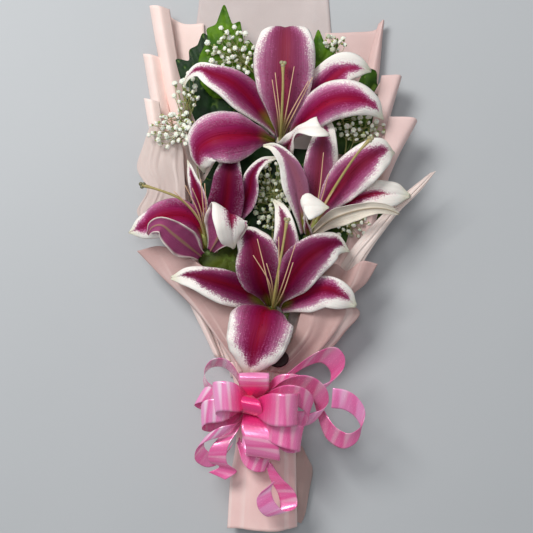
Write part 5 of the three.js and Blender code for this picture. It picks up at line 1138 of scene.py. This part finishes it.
def spray(name, shape, florets, floret_size, shade_share):
    """Main stalks, a branch to each floret, and florets spread through the clouds."""
    made = Gathered()
    stalks = [even_curve(path, 30) for path in shape["stalks"]]
    for path in stalks:
        made.add_tube(path, np.linspace(0.5, 1.0, len(path)), 6, 0)
    joints = np.concatenate([path[:20] for path in stalks])
    templates = [floret_shape() for _ in range(5)]
    for (centre, radii), count in zip(shape["clouds"], florets):
        centre, radii = np.array(centre, float), np.array(radii, float)
        placed = []
        for _ in range(count * 12):
            spot = random.uniform(-1, 1, 3)
            if np.dot(spot, spot) > 1 or len(placed) >= count:
                continue
            spot = centre + spot * radii * 0.95
            if placed and np.min(np.linalg.norm(np.array(placed) - spot, axis=1)) < floret_size * 1.15:
                continue
            placed.append(spot)
        for spot in placed:
            size = floret_size * random.uniform(0.7, 1.1) / 2
            turn = random_turn()
            facing = turn @ np.array([0, 0, 1.0])
            if facing[2] < 0:
                turn = turn @ np.diag([1, -1, -1])
            shaded = 3 if random.random() < shade_share else 1
            for verts, faces, uv, kind in templates[random.integers(5)]:
                kind = shaded if kind == 1 else kind
                made.add(verts @ turn.T * size + spot, faces, uv, kind)
            near = joints[np.argsort(np.linalg.norm(joints - spot, axis=1))[random.integers(3)]]
            bend = (near + spot) / 2 + random.normal(size=3) * [2, 2, 1]
            made.add_tube(even_curve([near, bend, spot], 5), 0.28, 4, 0)
    return made.object(name)


# ---------------------------------------------------------------- paper

def sheet_grid(control, rows, columns):
    """Smooth grid through rows of control points."""
    across = np.array([curve_at(row, np.linspace(0, 1, columns + 1)) for row in control])
    places = np.linspace(0, 1, rows + 1)
    return np.stack([curve_at(across[:, j], places) for j in range(columns + 1)], axis=1)


def paper_sheet(name, control, rows, columns, creases, wave, seed):
    """Sheet with long folds that run to the waist and a little crumple."""
    grid = sheet_grid(control, rows, columns)
    u, v = np.meshgrid(np.linspace(0, 1, rows + 1), np.linspace(0, 1, columns + 1), indexing="ij")
    fold = np.zeros_like(u)
    own = np.random.default_rng(seed)
    for _ in range(creases):
        line = own.uniform(0.08, 0.92)
        lean = own.uniform(-0.25, 0.25)
        wide = own.uniform(0.03, 0.08)
        ridge = np.exp(-(((v - line - lean * (u - 1)) / wide) ** 2))
        fold += own.choice([-1, 1]) * ridge * (0.35 + 0.65 * u)
    crumple = np.array([noise.noise(Vector(p) * 0.045 + Vector((seed, 0, 0))) for p in grid.reshape(-1, 3)])
    lift = wave * (fold + 0.8 * crumple.reshape(u.shape))
    rim = np.clip(np.minimum(v, 1 - v) * 12, 0.35, 1)
    grid = grid + grid_normals(grid) * (lift * rim)[..., None]
    count = grid.shape[0] * grid.shape[1]
    values = {"fold": np.clip(np.abs(fold), 0, 1).reshape(count)}
    return slab_object(name, grid, PAPER_THICK, values), grid


def back_sheet(name):
    """The flat back sheet, with soft fold lines running up from the waist."""
    outline = np.array(BACK_SHEET, float)
    top, bottom = outline[:, 1].max(), outline[:, 1].min()
    left = sorted(BACK_SHEET[:1] + BACK_SHEET[6:], key=lambda p: -p[1])
    right = sorted(BACK_SHEET[1:6], key=lambda p: -p[1])
    rows, columns = 90, 44
    ys = np.linspace(top, bottom, rows + 1)
    left_x = np.interp(-ys, [-p[1] for p in left], [p[0] for p in left])
    right_x = np.interp(-ys, [-p[1] for p in right], [p[0] for p in right])
    v = np.linspace(0, 1, columns + 1)
    x = left_x[:, None] * (1 - v) + right_x[:, None] * v
    y = np.repeat(ys[:, None], columns + 1, axis=1)
    lift = np.array([noise.noise(Vector((a * 0.03, b * 0.012, 3.0))) for a, b in zip(x.ravel(), y.ravel())])
    z = BACK_Z + 0.5 + 1.3 * np.clip(lift.reshape(x.shape), 0, 1)
    grid = np.stack([x, y, z], axis=2)
    fold = np.exp(-((((v - 0.5) * 10) % 1 - 0.5) / 0.05) ** 2)[None] * np.ones_like(x)
    piece = slab_object(name, grid, PAPER_THICK, {"fold": (0.5 * fold).ravel()})
    return piece, grid


SLEEVE_RINGS = [
    [-270, -5, 22, 38, 22], [-220, -4, 22, 36, 22], [-180, -2, 22, 32, 22], [-134, -8, 22, 26, 21.5],
    [-118, -7, 23.5, 28, 21], [-98, -6, 24.5, 36, 22]]


def sleeve(name):
    """Paper rolled round the stems and pressed into flat folds, with its loose edge at the right."""
    rows, columns = 90, 120
    rings = curve_at([[r[0], r[1], r[2]] for r in SLEEVE_RINGS], np.linspace(0, 1, rows + 1))
    radii = curve_at([[r[3], r[4], 0] for r in SLEEVE_RINGS], np.linspace(0, 1, rows + 1))
    turn = np.linspace(0, 2 * math.pi, columns + 1)[None, :] * np.ones((rows + 1, 1))
    u = np.linspace(0, 1, rows + 1)[:, None]
    gathered = np.clip((u - 0.45) / 0.35, 0, 1)
    wave = np.arcsin(np.sin(turn * 5 + 0.6 + 0.5 * u)) * 0.9 + np.arcsin(np.sin(turn * 8 - 1.2)) * 0.35
    pleats = np.arcsin(np.sin(turn * 22)) * 0.9 * gathered
    grow = -2.2 + wave * (1 - 0.5 * gathered) + pleats
    x = rings[:, 1:2] + (radii[:, 0:1] + grow) * np.sign(np.cos(turn)) * np.abs(np.cos(turn)) ** 0.85
    z = rings[:, 2:3] + (radii[:, 1:2] + grow) * np.sign(np.sin(turn)) * np.abs(np.sin(turn)) ** 0.85
    y = rings[:, 0:1] + 1.2 * np.sin(turn * 3 + 1) * (1 - u) ** 6
    grid = np.stack([x, y, z], axis=2)[:, ::-1]
    fold = np.clip(np.abs(wave) * 1.1 - 0.5, 0, 1)[:, ::-1]
    verts, faces, uv, side = slab_mesh(grid, PAPER_THICK)
    edge = sheet_grid(SLEEVE_FLAP, 60, 16)
    v = np.linspace(0, 1, 17)[None, :]
    edge[..., 2] += 1.1 * np.sin(6 * v + 9 * np.linspace(0, 1, 61)[:, None]) * v
    more, more_faces, more_uv, more_side = slab_mesh(edge, PAPER_THICK)
    faces = faces + [[k + len(verts) for k in face] for face in more_faces]
    # The loose flap is marked so the paper material paints shade on it.
    values = {"back": np.concatenate([side, more_side]),
              "fold": np.concatenate([np.tile(fold.ravel(), 2), np.zeros(len(more))]),
              "loose": np.concatenate([np.zeros(len(verts)), np.ones(len(more))])}
    piece = mesh_object(name, np.concatenate([verts, more]), faces, np.concatenate([uv, more_uv]), values)
    return piece, grid


# ---------------------------------------------------------------- ribbon

KNOT = np.array([-14, -134, 70])


def band_grid(path, start, end, width, tail, rows, columns, bulge):
    """Ribbon along a path, gathered at the knot; its width direction turns from start to end."""
    points = even_curve(path, rows)
    share = np.linspace(0, 1, rows + 1)[:, None]
    across = unit(np.array(start, float) * (1 - share) + np.array(end, float) * share)
    nearest = share if tail else np.minimum(share, 1 - share)
    opened = np.clip(nearest / GATHER_LENGTH, 0, 1)
    opened = opened * opened * (3 - 2 * opened)
    size = width * (GATHER_WIDTH + (1 - GATHER_WIDTH) * opened)
    v = np.linspace(-0.5, 0.5, columns + 1)
    grid = points[:, None] + across[:, None] * (size * v[None, :])[..., None]
    crimp = (1 - opened) * 1.1 * np.sin(v * 40)[None, :] + bulge * (1 - (2 * v) ** 2)[None, :]
    return grid + grid_normals(grid) * crimp[..., None]


def ribbon_object(name, bands):
    """Joins bands into one piece; each vertex gets a glow value that is 1 at the knot and falls along each
    band, for the painted hot pink glow of bounced light.
    """
    made_verts, made_faces, made_uv, made_back, made_knot_glow, count = [], [], [], [], [], 0
    grids = []
    for band in bands:
        grid = band_grid(*band, 70, 12, 0.5)
        grids.append(grid)
        verts, faces, uv, side = slab_mesh(grid, RIBBON_THICK)
        made_verts.append(verts)
        made_faces += [[k + count for k in face] for face in faces]
        made_uv.append(uv)
        made_back.append(side)
        # Painted glow mask: 1 at the knot, falling with distance from it.
        away = np.linalg.norm((verts - KNOT) * [1, 1, 0.6], axis=1)
        made_knot_glow.append(np.clip(1.2 - away / 40, 0, 1))
        count += len(verts)
    piece = mesh_object(name, np.concatenate(made_verts), made_faces, np.concatenate(made_uv),
                        {"back": np.concatenate(made_back), "knot_glow": np.concatenate(made_knot_glow)})
    return piece, grids


TIE_CENTRE, TIE_RADII, TIE_HALF_WIDTH = (-8, -128, 23), (27.4, 21.8), 6
TIE_STEPS, TIE_LINES = 97, 7


def tie(name):
    """Flat ribbon pulled tight round the waist."""
    turn = np.linspace(0, 2 * math.pi, TIE_STEPS)
    v = np.linspace(-TIE_HALF_WIDTH, TIE_HALF_WIDTH, TIE_LINES)
    pinch = 0.25 * np.sin(turn * 11)[:, None] * np.ones(TIE_LINES)
    x = TIE_CENTRE[0] + (TIE_RADII[0] + pinch) * np.cos(turn)[:, None]
    z = TIE_CENTRE[2] + (TIE_RADII[1] + pinch) * np.sin(turn)[:, None]
    y = TIE_CENTRE[1] + v[None, :] * np.ones((TIE_STEPS, 1))
    grid = np.stack([x, y, z], axis=2)
    verts, faces, uv, side = slab_mesh(grid, RIBBON_THICK)
    # The tie takes half strength of the painted hot pink glow.
    piece = mesh_object(name, verts, faces, uv, {"back": side, "knot_glow": np.full(len(verts), 0.5)})
    return piece, grid


# ---------------------------------------------------------------- seal

SEAL_HALF, SEAL_PLACE, SEAL_SIDES = (11, 9), [11.5, -92.5, 63], 64


def seal(name):
    """Thin oval sticker with a softly rounded rim and a fine raised ring, no lettering."""
    rings = [(0.0, 0.55), (0.3, 0.55), (0.6, 0.54), (0.8, 0.52), (0.84, 0.62), (0.88, 0.52), (0.96, 0.45),
             (1.0, 0.2), (1.0, -0.2), (0.96, -0.4), (0.0, -0.4)]
    sides = SEAL_SIDES
    verts, faces = [], []
    for reach, z in rings[1:-1]:
        for s in range(sides):
            turn = 2 * math.pi * s / sides
            verts.append([SEAL_HALF[0] * reach * math.cos(turn), SEAL_HALF[1] * reach * math.sin(turn), z])
    for r in range(len(rings) - 3):
        for s in range(sides):
            a, b = r * sides + s, r * sides + (s + 1) % sides
            faces.append([a, a + sides, b + sides, b])
    faces.append(list(range(sides)))
    last = (len(rings) - 3) * sides
    faces.append([last + s for s in range(sides - 1, -1, -1)])
    verts = np.array(verts) + SEAL_PLACE
    return mesh_object(name, verts, faces, verts[:, :2] * 0.01)


# ---------------------------------------------------------------- assembly

def finish(piece, node, material):
    piece.data.materials.append(material)
    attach(piece, "root")
    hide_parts(node)
    return piece


# For each petal: how much shade is painted on its face, how wide its white margin (kept narrow on petals in
# shadow, partly painted shade), how far its face is greyed toward mauve, how pale its back is, and how far
# its colours lean to one side.
LOOKS = {
    "lily_top": {"inner_1": (0.5, 0.1, 0.12, 0.5, 0), "inner_2": (0.2, -0.1, 0, 0.4, 0),
                 "inner_3": (0.1, 0.35, 0, 0.6, 0), "outer_1": (0.35, 0, 0, 0.9, 0.15),
                 "outer_2": (0.1, 0.2, 0, 0.8, 0.15), "outer_3": (0.2, 2.6, 0.1, 1, 0)},
    "lily_left": {"inner_1": (0.1, -0.3, 0, 0.2, 0.15), "inner_2": (0.9, -1, 0, 0.3, 0),
                  "inner_3": (0.3, 1.7, 0, 0.1, 0), "outer_1": (0.4, 0, 0, 0, 0),
                  "outer_2": (0.5, -0.2, 0, 0.3, 0), "outer_3": (0.7, -0.3, 0, 0.5, 0)},
    "lily_right": {"inner_1": (0.45, 0.1, 0.15, 0.5, -0.1), "inner_2": (0.3, 0.35, 0.05, 0.8, -0.1),
                   "inner_3": (0.1, 3.2, 0, 1, 0), "outer_1": (0.45, 0, 0.5, 0.7, 0.3),
                   "outer_2": (0, 1.6, 0, 1, 0), "outer_3": (0, 1, 0.1, 0.9, 0)},
    "lily_bottom": {"inner_1": (0.9, -0.3, 0, 0.3, 0), "inner_2": (0.75, -0.1, 0, 0.4, -0.12),
                    "inner_3": (0.35, 0.4, 0, 0.8, 0), "outer_1": (0.7, 0, 0.15, 0.6, 0),
                    "outer_2": (0.8, 0.2, 0, 0.8, 0.2), "outer_3": (0.25, 0.4, 0, 0.9, -0.2)},
}


def make_lilies():
    inner = petal_material("petal_inner", 0.6, [(0, 1), (0.5, 1), (0.68, 0.88), (0.84, 0.5), (0.95, 0)])
    outer = petal_material("petal_outer", 0.3, [(0, 1), (0.45, 1), (0.65, 0.85), (0.82, 0.45), (0.95, 0)])
    stalk, heart = stem_material(), pistil_material()
    for flower, parts in FLOWERS.items():
        for key, shape in parts["petals"].items():
            is_inner = key.startswith("inner")
            node = f"{flower}_petal_{key}"
            piece = petal(f"{node}_skin", shape, is_inner, LOOKS[flower][key])
            finish(piece, node, inner if is_inner else outer)
        node = f"{flower}_pistil_and_filaments"
        stigma_kind = 4 if flower == "lily_left" else 2
        finish(pistil(f"{node}_fine", parts, stigma_kind), node, heart)
        finish(stem(f"{flower}_stem_fine", parts), f"{flower}_stem", stalk)


def make_leaves():
    bright = leaf_material("leaf_bright", colour(44, 84, 4), colour(92, 132, 22), 0.5)
    middle = leaf_material("leaf_middle", colour(26, 56, 6), colour(56, 88, 16), 0.5)
    dark = leaf_material("leaf_dark", colour(8, 34, 12), colour(26, 60, 20), 0.45)
    olive = leaf_material("leaf_olive", colour(48, 62, 10), colour(78, 90, 24), 0.5)
    looks = {"leaf_top_left": (bright, 5), "leaf_top_right": (bright, 3), "leaf_upper_left": (dark, 4),
             "leaf_right": (middle, 3), "leaf_left": (olive, 3), "leaf_centre": (dark, 3),
             "leaf_low_right": (middle, 2)}
    for node, (material, lift) in looks.items():
        finish(leaf(f"{node}_blade", LEAVES[node], lift), node, material)


def make_sprays():
    material = breath_material()
    plans = {"breath_top_left": ([56], 5.6, 0.1), "breath_left": ([28, 52, 16], 5.6, 0.15),
             "breath_centre": ([90], 5.4, 0.8), "breath_right": ([46, 16, 22], 5.4, 0.3)}
    for node, (florets, size, shaded) in plans.items():
        finish(spray(f"{node}_florets", SPRAYS[node], florets, size, shaded), node, material)


def make_wrap():
    # The right pleats use a shaded copy of the rolled paper of the left pleats: painted shade on the side
    # away from the light. The flaps' paper carries painted shade too.
    rolled = paper_material("paper_rolled", colour(255, 228, 220), colour(248, 214, 206))
    rolled_shade = paper_material("paper_rolled_shade", colour(230, 196, 192), colour(216, 180, 176))
    shaded = paper_material("paper_shaded", colour(200, 162, 158), colour(180, 142, 138))
    pink = paper_material("paper_sleeve", colour(246, 206, 200), colour(236, 190, 186))
    thin = paper_material("paper_thin", colour(238, 218, 210), colour(220, 196, 188))
    veil = paper_material("paper_veil", colour(206, 186, 180), colour(188, 168, 162))
    grey = paper_material("paper_back", colour(206, 190, 188), colour(192, 176, 174))
    piece, grid = back_sheet("wrap_back_sheet_paper")
    finish(piece, "wrap_back_sheet", grey)
    piece, grid = sleeve("wrap_sleeve_paper")
    finish(piece, "wrap_sleeve", pink)
    for number, (node, sheet) in enumerate(SHEETS.items()):
        is_pleat = "pleat" in node
        creases, wave = (2, 0.5) if is_pleat else (8, 1.1)
        material = shaded
        if is_pleat:
            material = rolled if "left" in node else rolled_shade
        if "panel" in node:
            material = veil if "left" in node else thin
        piece, grid = paper_sheet(f"{node}_paper", sheet["control"], 80, 40, creases, wave, number)
        finish(piece, node, material)


def make_ribbon():
    material = ribbon_material()
    bands = [(loop["path"], loop["from"], loop["to"], loop.get("width", RIBBON_WIDTH), loop.get("tail", 0))
             for loop in BOW_LOOPS]
    piece, grids = ribbon_object("ribbon_bow_satin", bands)
    finish(piece, "ribbon_bow", material)
    for node, tail in RIBBON_TAILS.items():
        bands = [(tail["path"], tail["from"], tail["to"], tail["width"], 1)]
        piece, grids = ribbon_object(f"{node}_satin", bands)
        finish(piece, node, material)
    piece, grid = tie("ribbon_tie_satin")
    finish(piece, "ribbon_tie", material)


FLOOR_HALF = 4
WORLD_STRENGTH, KEY_WATTS, OVERHEAD_WATTS = 0.36, 21.8, 5


def make_stage():
    size = FLOOR_HALF
    corners = [[-size, -size, 0], [size, -size, 0], [size, size, 0], [-size, size, 0]]
    mesh = bpy.data.meshes.new("floor")
    mesh.from_pydata(corners, [], [[0, 1, 2, 3]])
    floor = bpy.data.objects.new("floor", mesh)
    floor.data.materials.append(floor_material())
    bpy.context.scene.collection.objects.link(floor)
    x, y = SHIFT[0], SHIFT[1]
    add_world((0.9, 0.93, 0.96), WORLD_STRENGTH)
    add_area_light("key", (x - 0.65, y + 0.8, 1.4), (x, y, 0), 0.6, KEY_WATTS, (1, 0.99, 0.97))
    add_area_light("overhead", (x - 0.1, y + 0.25, 1.9), (x, y, 0), 0.35, OVERHEAD_WATTS, (1, 1, 1))


add_camera()
make_stage()
make_lilies()
make_leaves()
make_sprays()
make_wrap()
make_ribbon()
finish(seal("oval_seal_sticker"), "oval_seal", seal_material())
bpy.context.scene.view_settings.view_transform = "Standard"
